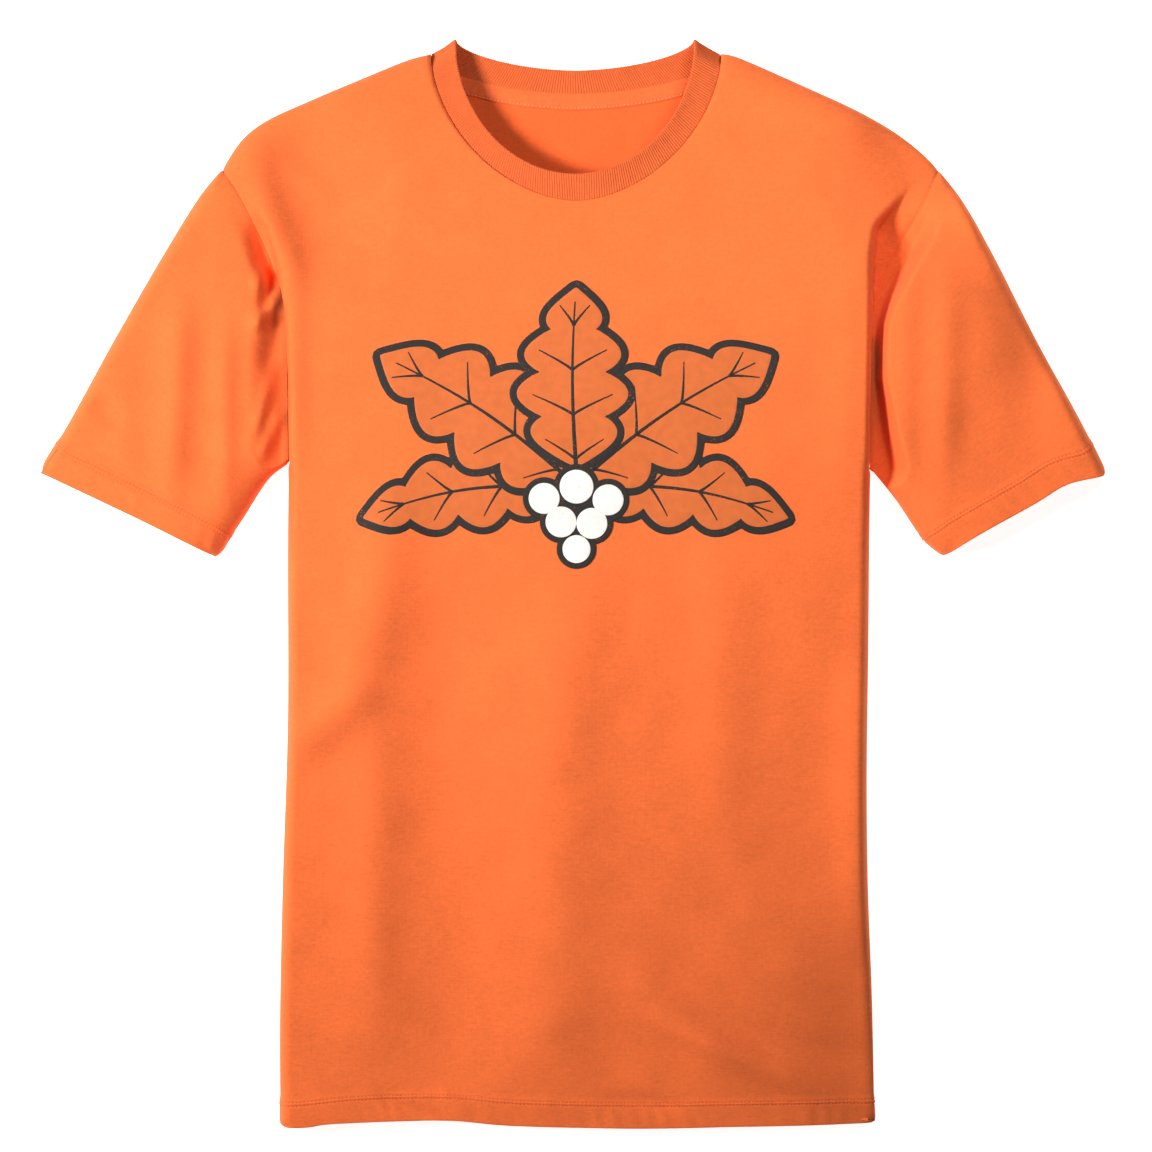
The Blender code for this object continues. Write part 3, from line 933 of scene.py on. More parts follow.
def pick_rows(surface: np.ndarray, marks: np.ndarray, at: np.ndarray) -> np.ndarray:
    """Gives the rows of a surface at these marks, between its own rows where need be.

    Args:
        surface: An array of columns by rows by three.
        marks: The mark of each row, rising.
        at: The marks wanted, one list for all columns or one for each column.

    Returns:
        An array of columns by wanted rows by three.
    """
    at = np.broadcast_to(at, (len(surface), np.shape(at)[-1]))
    below = np.clip(np.searchsorted(marks, at) - 1, 0, len(marks) - 2)
    share = ((at - marks[below]) / (marks[below + 1] - marks[below]))[..., None]
    column = np.arange(len(surface))[:, None]
    return surface[column, below] * (1 - share) + surface[column, below + 1] * share


@dataclass(frozen=True)
class TurnedHem:
    """A hem, turned in once and held by two rows of stitches.

    Attributes:
        rows: How far from the fold the two rows of stitches run.
        band: How far from the fold the hem is felt in the cloth.
        fold: The distances from the fold and the depths inside the outer face, in mm, at which
            the cloth's face turns round the fold and runs back inside.
        pull: How deep the stitches pull the cloth in.
        rope: How high the slanting ripples are that a sewn knit hem gets.
        doubled: How much higher the hem lies for its second layer.
        ridge: How high the cloth stands between the two rows of stitches.
        slant: How far apart the ripples are along the hem and across it.
    """

    rows: tuple[float, float] = (17.9 * MM, 20.6 * MM)
    band: float = 26 * MM
    fold: Points = (
        (22.5, 1.75), (20.6, 1.8), (17.9, 1.75), (12.0, 1.65), (6.0, 1.55), (2.5, 1.5),
        (0.8, 1.4), (0.2, 1.1), (0.0, 0.75), (0.15, 0.35), (0.5, 0.1),
    )
    pull: float = 0.30 * MM
    rope: float = 0.46 * MM
    doubled: float = 0.55 * MM
    ridge: float = 0.30 * MM
    slant: tuple[float, float] = (12 * MM, 26 * MM)

    def outer(self) -> np.ndarray:
        """Gives the distances from the fold of the rows on the outer face."""
        plain = [1, 2, 3.5, 5.5, 8, 10.5, 13, 15, 16.3, 17.1, 17.5, 17.9, 18.3, 18.75]
        sewn = [19.25, 19.75, 20.2, 20.6, 21.0, 21.5, 22.3, 23.2, 24.4, 26.0]
        return np.array(plain + sewn) * MM

    def inner(self) -> tuple[np.ndarray, np.ndarray]:
        """Gives the distances and depths of the rows from the cut edge inside to the fold."""
        table = np.array(self.fold) * MM
        return table[:, 0], table[:, 1]

    def marks(self) -> np.ndarray:
        """Gives every distance from the fold that a row has, rising."""
        return np.unique(np.concatenate([self.inner()[0], self.outer()]))

    def relief(self, surface: np.ndarray, distance: np.ndarray, seed: int) -> np.ndarray:
        """Gives how far the sewn hem stands out from the plain cloth.

        Args:
            surface: Columns by rows by three, a row for each distance.
            distance: Each row's distance from the fold.
            seed: The seed of the ripples' random places.

        Returns:
            A height for each point.
        """
        doubled = self.doubled * (1 - ease(self.rows[1], self.band - 1 * MM, distance))
        ridge = self.ridge * bell(distance - sum(self.rows) / 2, 0.9 * MM)
        groove = sum(self.pull * bell(distance - row, 0.55 * MM) for row in self.rows)
        run = reach_along(surface[:, 0])[:, None]
        wander = ripple(surface[..., :2].reshape(-1, 2), 0.05, seed).reshape(surface.shape[:2])
        slant = 2 * np.pi * (run / self.slant[0] + distance / self.slant[1]) + 1.8 * wander
        strength = np.clip(0.5 + 0.6 * ripple(surface[:, 0, :2], 0.07, seed + 1), 0, 1.3)[:, None]
        swell = np.sin(np.pi * np.clip(distance / self.rows[0], 0, 1))
        return doubled + ridge - groove + self.rope * np.sin(slant) * strength * swell


@dataclass
class ClothPiece:
    """A piece of cloth: its face as a grid, and what the sewing needs to know of it.

    Attributes:
        name: The piece's name.
        form: The laid shirt's form.
        hem: How its open edge is turned.
        thickness: The thickness of one layer.
        turn_down: How far its seamed edges turn in.
        groove: How deep the cloth is drawn in along an armhole seam.
        corner_fade: How fast the bend of a rounded hem corner fades inwards.
        across: Where its columns are, as shares of the width.
        area: The area of its cloth, once it is made.
        rows: The line and the normals of each row of stitches, once it is made.
    """

    name: str
    form: LaidForm
    hem: TurnedHem = field(default_factory=TurnedHem)
    thickness: float = 0.7 * MM
    turn_down: float = 1.2 * MM
    groove: float = 0.7 * MM
    corner_fade: float = 24.0
    across: np.ndarray = field(default_factory=lambda: spaced(0.065, 26, 150))
    area: float = field(init=False, default=0.0)
    rows: dict[float, tuple[np.ndarray, np.ndarray]] = field(init=False, default_factory=dict)

    def hem_band(
        self, hem: np.ndarray, edges: Sequence[np.ndarray]
    ) -> tuple[np.ndarray, np.ndarray, list[np.ndarray]]:
        """Fills the band of the plan that the hem takes.

        Args:
            hem: The outline's hem line.
            edges: The left and the right edge of the piece, from the hem on.

        Returns:
            The band's points, the line where it ends, and what is left of the two edges.
        """
        hem = along(hem, self.across)
        low = [stretch_of(edge, 0, self.hem.band) for edge in edges]
        high = [stretch_of(edge, self.hem.band, reach_along(edge)[-1]) for edge in edges]
        top = moved_line(hem, self.across, low[0][-1], low[1][-1])
        share = self.hem.marks() / self.hem.band
        ends = [along(line, share) for line in low]
        return coons(hem, top, *ends, self.across, share, self.corner_fade), top, high

    def seam_relief(self, surface: np.ndarray) -> np.ndarray:
        """Gives the relief of the cloth beside an armhole seam."""
        flat = surface[..., :2].reshape(-1, 2)
        total = np.zeros(len(flat))
        for line in self.form.lines["armholes"]:
            total -= self.groove * bell(distances(flat, line)[0], 1.6 * MM)
        return total.reshape(surface.shape[:2])

    def sewn(self, plain: np.ndarray, ring: bool, seed: int) -> tuple[np.ndarray, np.ndarray]:
        """Turns a piece's smooth surface into its face, hem first.

        Args:
            plain: Columns by rows by three. The first rows are those of the hem's marks.
            ring: Whether the columns close to a ring.
            seed: The seed of the hem's ripples.

        Returns:
            The face, from the hem's cut edge inside to the last row, and its normals.
        """
        normal = normals_of(plain, ring)
        relief = self.seam_relief(plain)
        marks = self.hem.marks()
        count = len(marks)
        relief[:, :count] += self.hem.relief(plain[:, :count], marks, seed)
        face = plain + normal * relief[..., None]
        inner, depths = self.hem.inner()
        inside = [int(np.argmin(np.abs(marks - d))) for d in inner]
        outside = [int(np.argmin(np.abs(marks - d))) for d in self.hem.outer()]
        lining = face[:, inside] - normal[:, inside] * depths[None, :, None]
        whole = np.concatenate([lining, face[:, outside], face[:, count:]], axis=1)
        parts = [normal[:, inside], normal[:, outside], normal[:, count:]]
        for row in self.hem.rows:
            k = int(np.argmin(np.abs(marks - row)))
            self.rows[row] = (face[:, k], normal[:, k])
        return whole, np.concatenate(parts, axis=1)

    def make(
        self, surface: np.ndarray, material: bpy.types.Material, ring: bool
    ) -> bpy.types.Object:
        """Makes the piece's object from its face, and measures its area."""
        self.area = area_of(surface, ring)
        piece = grid_object(self.name, surface, ring)
        piece.data.materials.append(material)
        give_thickness(piece, self.thickness)
        LOG.info("%s: %.4f m2 of cloth", self.name, self.area)
        return piece


@dataclass
class BodyPanel(ClothPiece):
    """The front or the back of the shirt.

    Its rows close in on the neckline, and end on the side, the armhole and the shoulder in turn.

    Attributes:
        front: Whether it is the front.
        steps: How many rows end on the side, the armhole and the shoulder.
    """

    front: bool = True
    steps: tuple[int, int, int] = (112, 48, 34)

    def surface(self) -> np.ndarray:
        """Gives the panel's smooth face."""
        lines = self.form.lines
        bottom, top, sides = self.hem_band(lines["hem"][0], lines["sides"])
        edges = []
        for parts in zip(sides, lines["armholes"], lines["shoulders"]):
            spots = [np.linspace(0, 1, count + 1)[:-1] for count in self.steps]
            rows = [along(part, at) for part, at in zip(parts, spots)]
            edges.append(np.vstack([*rows, parts[-1][-1:]]))
        reach = reach_along(edges[0])
        neck = self.form.outline.seam.at(self.front, np.pi * self.across)
        rest = coons(top, neck, *edges, self.across, reach / reach[-1])
        plan = np.concatenate([bottom, rest[:, 1:]], axis=1)
        height = self.form.front if self.front else self.form.back
        level = height(plan.reshape(-1, 2)).reshape(plan.shape[:2])
        return np.dstack([plan, level])

    def build(self, material: bpy.types.Material) -> bpy.types.Object:
        """Makes the panel."""
        plain = self.surface()
        if not self.front:
            plain = plain[::-1]
        face, normal = self.sewn(plain, False, 31 if self.front else 32)
        down = self.turn_down * normal
        face = np.concatenate([face, (face - down)[:, -1:]], axis=1)
        down = np.concatenate([down, down[:, -1:]], axis=1)
        face = np.concatenate([(face - down)[:1], face, (face - down)[-1:]])
        return self.make(face, material, False)


@dataclass
class Sleeve(ClothPiece):
    """A short sleeve, laid flat: one tube from the armhole to its hem.

    Attributes:
        side: Which sleeve it is.
        steps: How many rows there are between the armhole and the hem.
    """

    side: Side = Side.LEFT
    steps: int = 74

    def axis(self) -> np.ndarray:
        """Gives the direction from the armhole to the hem."""
        lines, k = self.form.lines, self.side.order
        way = lines["sleeve_hems"][k].mean(0) - lines["armholes"][k].mean(0)
        return way / np.linalg.norm(way)

    def turn(self) -> float:
        """Gives how far the cloth's grain is turned from the body's."""
        way = self.axis()
        return math.atan2(way[1], way[0]) + math.pi / 2

    def surface(self) -> np.ndarray:
        """Gives the sleeve's smooth face as a ring, hem first."""
        lines, k = self.form.lines, self.side.order
        edges = [lines[name][k][::-1] for name in ("underarms", "sleeve_tops")]
        bottom, top, high = self.hem_band(lines["sleeve_hems"][k], edges)
        up = 1 - (1 - np.linspace(0, 1, self.steps + 1)) ** 1.3
        armhole = along(lines["armholes"][k], self.across)
        rest = coons(top, armhole, *[along(line, up) for line in high], self.across, up)
        plan = np.concatenate([bottom, rest[:, 1:]], axis=1)
        flat = plan.reshape(-1, 2)
        front = np.dstack([plan, self.form.front(flat, True).reshape(plan.shape[:2])])
        back = np.dstack([plan, self.form.back(flat).reshape(plan.shape[:2])])
        ring = np.concatenate([front, back[-2:0:-1]])
        if normals_of(ring, True)[len(self.across) // 2, :, 2].mean() < 0:
            ring = ring[::-1]
        return ring

    def build(self, material: bpy.types.Material) -> bpy.types.Object:
        """Makes the sleeve."""
        face, normal = self.sewn(self.surface(), True, 41 + self.side.value)
        last = face[:, -1:] - self.turn_down * normal[:, -1:]
        return self.make(np.concatenate([face, last], axis=1), material, True)


@dataclass
class Collar:
    """The ribbed band round the neck: one closed ring, its ribs running from seam to free edge.

    Attributes:
        form: The laid shirt's form.
        pitch: The distance from one rib to the next, a little coarser than the real 1.4 mm.
        samples: How many columns of points there are to a rib.
        thickness: The band's thickness, which is two layers of rib.
        groove: How deep the cloth sinks between two ribs.
        lift: How far the free edge stands off the cloth under it.
        puff: How far the doubled band bulges.
        bends: How many rows of points its rounded edges have between their ends.
        tip: How far from its two tips, in radians, the free edge starts to round off.
        blur: How far to each side, in radians, the free edge is averaged at its tips.
        sag: How far the band's ends on the shoulders bend in between their two edges.
        round_end: The share of the width that each rounded edge takes.
    """

    form: LaidForm
    pitch: float = 1.7 * MM
    samples: int = 6
    thickness: float = 2.2 * MM
    groove: float = 0.55 * MM
    lift: float = 3.5 * MM
    puff: float = 0.35 * MM
    bends: int = 5
    tip: float = 0.32
    blur: float = 0.08
    sag: float = 0.7 * MM
    round_end: float = 0.061
    name: str = "collar_rib"
    area: float = field(init=False, default=0.0)

    def base(self, turn: np.ndarray, share: np.ndarray) -> np.ndarray:
        """Gives the band's outer surface before it is padded and ribbed.

        Args:
            turn: Angles round the neck.
            share: Shares of the way from the seam to the free edge.

        Returns:
            An array of angles by shares by three.
        """
        outline = self.form.outline
        seam = outline.seam.around(turn)
        from_tip = np.abs(np.mod(turn + np.pi / 2, np.pi) - np.pi / 2)
        near = bell(from_tip, self.tip)
        shifts = np.linspace(-self.blur, self.blur, 7)
        free = np.mean([outline.free_edge.around(turn + s * near) for s in shifts], axis=0)
        plan = seam[:, None] + share[None, :, None] * (free - seam)[:, None]
        plan[..., 1] -= self.sag * near[:, None] * np.sin(np.pi * np.clip(share, 0, 1))
        flat = plan.reshape(-1, 2)
        on_front = ease(-self.tip / 2, self.tip / 2, np.where(turn < np.pi, from_tip, -from_tip))
        front = self.form.front(flat).reshape(plan.shape[:2])
        back = self.form.back(flat).reshape(plan.shape[:2])
        level = back + on_front[:, None] * (front - back)
        return np.dstack([plan, level + self.lift * np.clip(share, 0, 1) ** 2])

    def stations(self) -> tuple[np.ndarray, np.ndarray]:
        """Places the columns evenly round the band's middle, a whole number of ribs in all.

        Returns:
            The angle of each column, and where it is in its rib, in radians.
        """
        fine = np.linspace(0, math.tau, 4001)
        middle = self.base(fine[:-1], np.array([0.5]))[:, 0]
        reach = reach_along(np.vstack([middle, middle[:1]]))
        ribs = round(reach[-1] / self.pitch)
        count = ribs * self.samples
        turn = np.interp(np.arange(count) / count * reach[-1], reach, fine)
        return turn, math.tau * ribs * np.arange(count) / count

    def section(self) -> tuple[np.ndarray, np.ndarray]:
        """Gives the section's outline: shares of the width, and depths from 0 to 1."""
        radius = self.round_end
        bend = np.linspace(0, np.pi, self.bends + 2)
        flat = np.linspace(radius, 1 - radius, 9)[1:-1]
        depth = 0.5 * (1 - np.cos(bend))
        out = radius * np.sin(bend)
        share = [flat, 1 - radius + out, flat[::-1], radius - out]
        deep = [np.zeros(len(flat)), depth, np.ones(len(flat)), depth[::-1]]
        return np.concatenate(share), np.concatenate(deep)

    def build(self, material: bpy.types.Material) -> bpy.types.Object:
        """Makes the band."""
        turn, rib = self.stations()
        marks = np.array([-0.02, 0.03, 0.09, 0.2, 0.35, 0.5, 0.65, 0.8, 0.9, 0.96, 1.02])
        base = self.base(turn, marks)
        normal = normals_of(base, True)
        (share, deep), radius = self.section(), self.round_end
        valley = (0.5 - 0.5 * np.cos(rib))[:, None]
        thin = 1 - 2 * self.groove / self.thickness * valley
        end = np.where(share > 0.5, 1 - radius, radius)
        beyond = np.where((share > 1 - radius) | (share < radius), share - end, 0)
        at = (share - beyond)[None] + beyond[None] * (0.5 + 0.5 * thin)
        depth = self.thickness * (0.5 + (deep[None] - 0.5) * thin)
        bulge = self.puff * np.sin(np.pi * np.clip(share, 0, 1)) * (1 - 2 * deep)
        face = pick_rows(base, marks, at)
        face += pick_rows(normal, marks, at) * (bulge - depth)[..., None]
        self.area = area_of(base, True)
        piece = grid_object(self.name, face, True, True)
        piece.data.materials.append(material)
        LOG.info("%s: %d ribs, %.4f m2", self.name, round(rib[-1] / math.tau), self.area)
        return piece


@dataclass
class NeckTape:
    """The soft tape that covers the seam inside the back of the neck.

    Attributes:
        form: The laid shirt's form.
        width: The tape's width.
        padding: How high it stands at its middle.
        start: Where it starts round the back neckline, in radians from the shoulder.
        stitched: How far above its lower edge its stitches run.
        over: How far it covers the collar's edge.
        under: How far its underside lies above the back's outer face.
    """

    form: LaidForm
    width: float = 12.4 * MM
    padding: float = 1.6 * MM
    start: float = 0.42
    stitched: float = 1.7 * MM
    over: float = 1.6 * MM
    under: float = 0.6 * MM
    name: str = "neck_tape_cloth"
    area: float = field(init=False, default=0.0)
    row: tuple[np.ndarray, np.ndarray] = field(init=False, default=(np.zeros(1), np.zeros(1)))

    def build(self, material: bpy.types.Material) -> bpy.types.Object:
        """Makes the tape as a closed padded strip."""
        columns = 260
        angles = np.linspace(self.start, np.pi - self.start, columns)
        upper = self.form.outline.seam.at(False, angles) + (0, self.over)
        tangent = np.gradient(upper, axis=0)
        down = np.column_stack([tangent[:, 1], -tangent[:, 0]])
        down /= np.linalg.norm(down, axis=1)[:, None]
        across = np.array([0, 0.3, 0.8, 1.2, 1.45, 1.7, 1.95, 2.2, 2.7, 4, 6, 8, 10, 11.4, 12.1])
        across = np.append(across * MM, self.width)
        plan = upper[:, None] + (self.width - across)[None, :, None] * down[:, None]
        floor = self.form.back(plan.reshape(-1, 2)).reshape(plan.shape[:2]) + self.under
        side = np.minimum(across, self.width - across)
        round_off = np.sqrt(1 - (1 - np.clip(side / (2.2 * MM), 0, 1)) ** 2)
        run = reach_along(upper)
        ends = np.clip(np.minimum(run, run[-1] - run) / (1.5 * MM), 0, 1)
        ends = np.sqrt(1 - (1 - ends) ** 2)[:, None]
        pulled = 0.45 * MM * bell(across - self.stitched, 0.5 * MM)
        puckers = 0.10 * MM * ripple(plan.reshape(-1, 2), 4 * MM, 51).reshape(plan.shape[:2])
        high = (self.padding * round_off - pulled + puckers * round_off) * ends
        top = np.dstack([plan, floor + high])
        bottom = np.dstack([plan, floor - 0.05 * MM])
        normal = normals_of(top[::-1])[::-1]
        normal *= np.sign(normal[..., 2:])
        k = int(np.argmin(np.abs(across - self.stitched)))
        self.row = (top[4:-4, k], normal[4:-4, k])
        self.area = area_of(top)
        ring = np.concatenate([top, bottom[:, -2:0:-1]], axis=1)
        piece = grid_object(self.name, ring, False, True)
        piece.data.materials.append(material)
        LOG.info("%s: %.4f m2", self.name, self.area)
        return piece


# Sewing and print


@dataclass(frozen=True)
class Stitching:
    """Rows of lockstitch, each stitch a short piece of thread that dips into the cloth beside a
    flat bead of painted needle-hole shade.

    Attributes:
        pitch: From one stitch to the next.
        length: How much of a stitch shows.
        radius: Half the thread's thickness, about twice the real one, so that it shows.
        hole: Half the width of a needle hole, where the thread dips in; its shade is painted as a
            flat dark bead.
        sides: How many sides the thread's section and a painted hole bead have.
    """

    pitch: float = 2.65 * MM
    length: float = 1.85 * MM
    radius: float = 0.26 * MM
    hole: float = 0.42 * MM
    sides: int = 6

    def strand(self, points: np.ndarray, normal: np.ndarray) -> np.ndarray:
        """Gives the rings of points of one stitch."""
        way = points[-1] - points[0]
        way /= np.linalg.norm(way)
        aside = np.cross(normal, way)
        share = np.linspace(0, 1, len(points))
        thick = self.radius * np.sqrt(np.clip(1 - (2 * share - 1) ** 4, 0.02, 1))
        lift = self.radius * (1.1 * np.sin(np.pi * share) - 0.5)
        turn = np.arange(self.sides) * math.tau / self.sides
        spoke = np.cos(turn)[:, None] * aside + np.sin(turn)[:, None] * normal
        middle = points + lift[:, None] * normal
        return middle[:, None] + thick[:, None, None] * spoke[None]

    def hole_shade_bead(self, middle: np.ndarray, way: np.ndarray, normal: np.ndarray) -> np.ndarray:
        """Gives the rings of points of one needle hole's painted shade: a low flat dark bead on
        the cloth, not a hole.
        """
        turn = np.arange(self.sides) * math.tau / self.sides
        aside = np.cross(normal, way)
        spoke = np.cos(turn)[:, None] * way + np.sin(turn)[:, None] * aside
        levels = ((-0.5, 0.9), (0.10, 1.0), (0.22, 0.75), (0.26, 0.01))
        rise, reach = self.radius * normal, self.hole * spoke
        return np.array([middle + up * rise + out * reach for up, out in levels])

    def build(
        self,
        name: str,
        rows: list[tuple[np.ndarray, np.ndarray]],
        thread: bpy.types.Material,
        shadowed: bpy.types.Material,
    ) -> bpy.types.Object:
        """Makes the stitches of several rows as one object.

        Args:
            name: The piece's name.
            rows: For each row, its line and the cloth's normals along it.
            thread: The thread's finish.
            shadowed: The finish of the needle holes' painted shade, a darker thread colour.

        Returns:
            The new object.
        """
        parts: list[np.ndarray] = []
        faces: list[np.ndarray] = []
        finish: list[int] = []
        count = 0
        draw = np.random.default_rng(len(name))
        for line, normals in rows:
            reach = reach_along(line)
            for start in np.arange(self.pitch / 2, reach[-1] - self.pitch, self.pitch):
                first = start + draw.normal(0, 0.06) * MM
                at = np.append(np.linspace(first, first + self.length, 7), start + self.pitch)
                points = np.stack([np.interp(at, reach, line[:, k]) for k in range(3)], 1)
                middle = [np.interp(at[3], reach, normals[:, k]) for k in range(3)]
                normal = np.array(middle) / np.linalg.norm(middle)
                way = points[6] - points[0]
                way /= np.linalg.norm(way)
                # Each stitch gets a flat bead of painted shade in the gap to the next, where its
                # needle hole is.
                gap = (points[6] + points[7]) / 2
                stitch = self.strand(points[:7], normal), self.hole_shade_bead(gap, way, normal)
                for kind, rings in enumerate(stitch):
                    quads = grid_faces(len(rings), self.sides, tube=True)
                    faces.append(quads + count)
                    parts.append(rings.reshape(-1, 3))
                    finish += [kind] * len(quads)
                    count += rings.shape[0] * self.sides
        piece = mesh_object(name, np.vstack(parts), np.vstack(faces))
        for material in (thread, shadowed):
            piece.data.materials.append(material)
        piece.data.polygons.foreach_set("material_index", finish)
        LOG.info("%s: %d stitches", name, len(parts) // 2)
        return piece


@dataclass(frozen=True)
class Leaf:
    """A lobed autumn leaf of the print.

    Attributes:
        base: Where its blade starts on the plan.
        angle: Where it points, in degrees to the left of +Y.
        length: From the start of the blade to the tip.
        half_width: Half the blade's width at its widest lobe.
        bend: How far its middle bows to the left, as a share of its length.
        lobes: How many lobes each side has.
    """

    base: tuple[float, float]
    angle: float
    length: float
    half_width: float
    bend: float = 0.04
    lobes: int = 4

    def place(self, run: np.ndarray, aside: np.ndarray) -> np.ndarray:
        """Gives plan points from shares of the length and distances to the leaf's left."""
        turn = math.radians(self.angle)
        way = np.array([-math.sin(turn), math.cos(turn)])
        left = np.array([-way[1], way[0]])
        bow = self.bend * self.length * np.sin(np.pi * run)
        return np.array(self.base) + np.outer(run * self.length, way) + np.outer(aside + bow, left)

    def reach_aside(self, run: np.ndarray) -> np.ndarray:
        """Gives how far the blade reaches to each side of its middle vein."""
        run = np.clip(run, 0, 1)
        body = np.sin(np.pi * run**0.80) ** 0.70
        lobed = np.abs(np.sin(np.pi * self.lobes * run**1.08)) ** 0.75
        return self.half_width * body * (0.58 + 0.42 * lobed)

    def blade(self, grown: float = 0.0) -> np.ndarray:
        """Gives the blade's outline as a closed line, grown outwards by a distance."""
        run = np.linspace(-grown / self.length, 1 + grown / self.length, 150)
        aside = self.reach_aside(run)
        if grown:
            own = np.linspace(0, 1, 300)
            room = grown**2 - ((run[:, None] - own) * self.length) ** 2
            near = self.reach_aside(own) + np.sqrt(np.maximum(room, 0))
            aside = np.where(room >= -1e-12, near, 0).max(1)
            aside[[0, -1]] = 0
        left = self.place(run, aside)
        return np.vstack([left, self.place(run, -aside)[-2:0:-1]])

    def veins(self) -> list[tuple[np.ndarray, float, float]]:
        """Gives the veins: a line each, and its width at the start and the end."""
        run = np.linspace(0, 0.92, 40)
        made = [(self.place(run, 0 * run), 3.0 * MM, 1.0 * MM)]
        for k in range(self.lobes):
            low, high = (k + 0.15) / self.lobes, (k + 0.60) / self.lobes
            run = np.linspace(low, high, 12)
            out = np.linspace(0, 1, 12) ** 1.15 * self.reach_aside(np.array([high])) * 0.72
            for way in (-1, 1):
                made.append((self.place(run, way * out), 2.0 * MM, 0.8 * MM))
        return made


@dataclass(frozen=True)
class Film:
    """A printed area or line, ready to be joined with others of the same ink.

    Attributes:
        points: Its points on the cloth.
        faces: Its faces, three point numbers a row.
    """

    points: np.ndarray
    faces: np.ndarray

    def without(self, edges: list[np.ndarray]) -> Film:
        """Leaves out the faces that lie wholly inside one of these closed edges."""
        kept = np.ones(len(self.faces), bool)
        for edge in edges:
            kept &= ~inside(self.points[:, :2], edge)[self.faces].all(1)
        return Film(self.points, self.faces[kept])


def inside(points: np.ndarray, edge: np.ndarray) -> np.ndarray:
    """Tells which points of the plan lie inside a closed edge."""
    odd = np.zeros(len(points), bool)
    for (x0, y0), (x1, y1) in zip(edge, np.roll(edge, -1, 0)):
        crosses = (y0 > points[:, 1]) != (y1 > points[:, 1])
        rise = y1 - y0 if y1 != y0 else 1.0
        odd ^= crosses & (points[:, 0] < x0 + (points[:, 1] - y0) / rise * (x1 - x0))
    return odd


def circle(middle: tuple[float, float], radius: float) -> np.ndarray:
    """Gives a circle on the plan as a closed edge."""
    turn = np.linspace(0, math.tau, 44, endpoint=False)
    return np.array(middle) + radius * np.column_stack([np.cos(turn), np.sin(turn)])


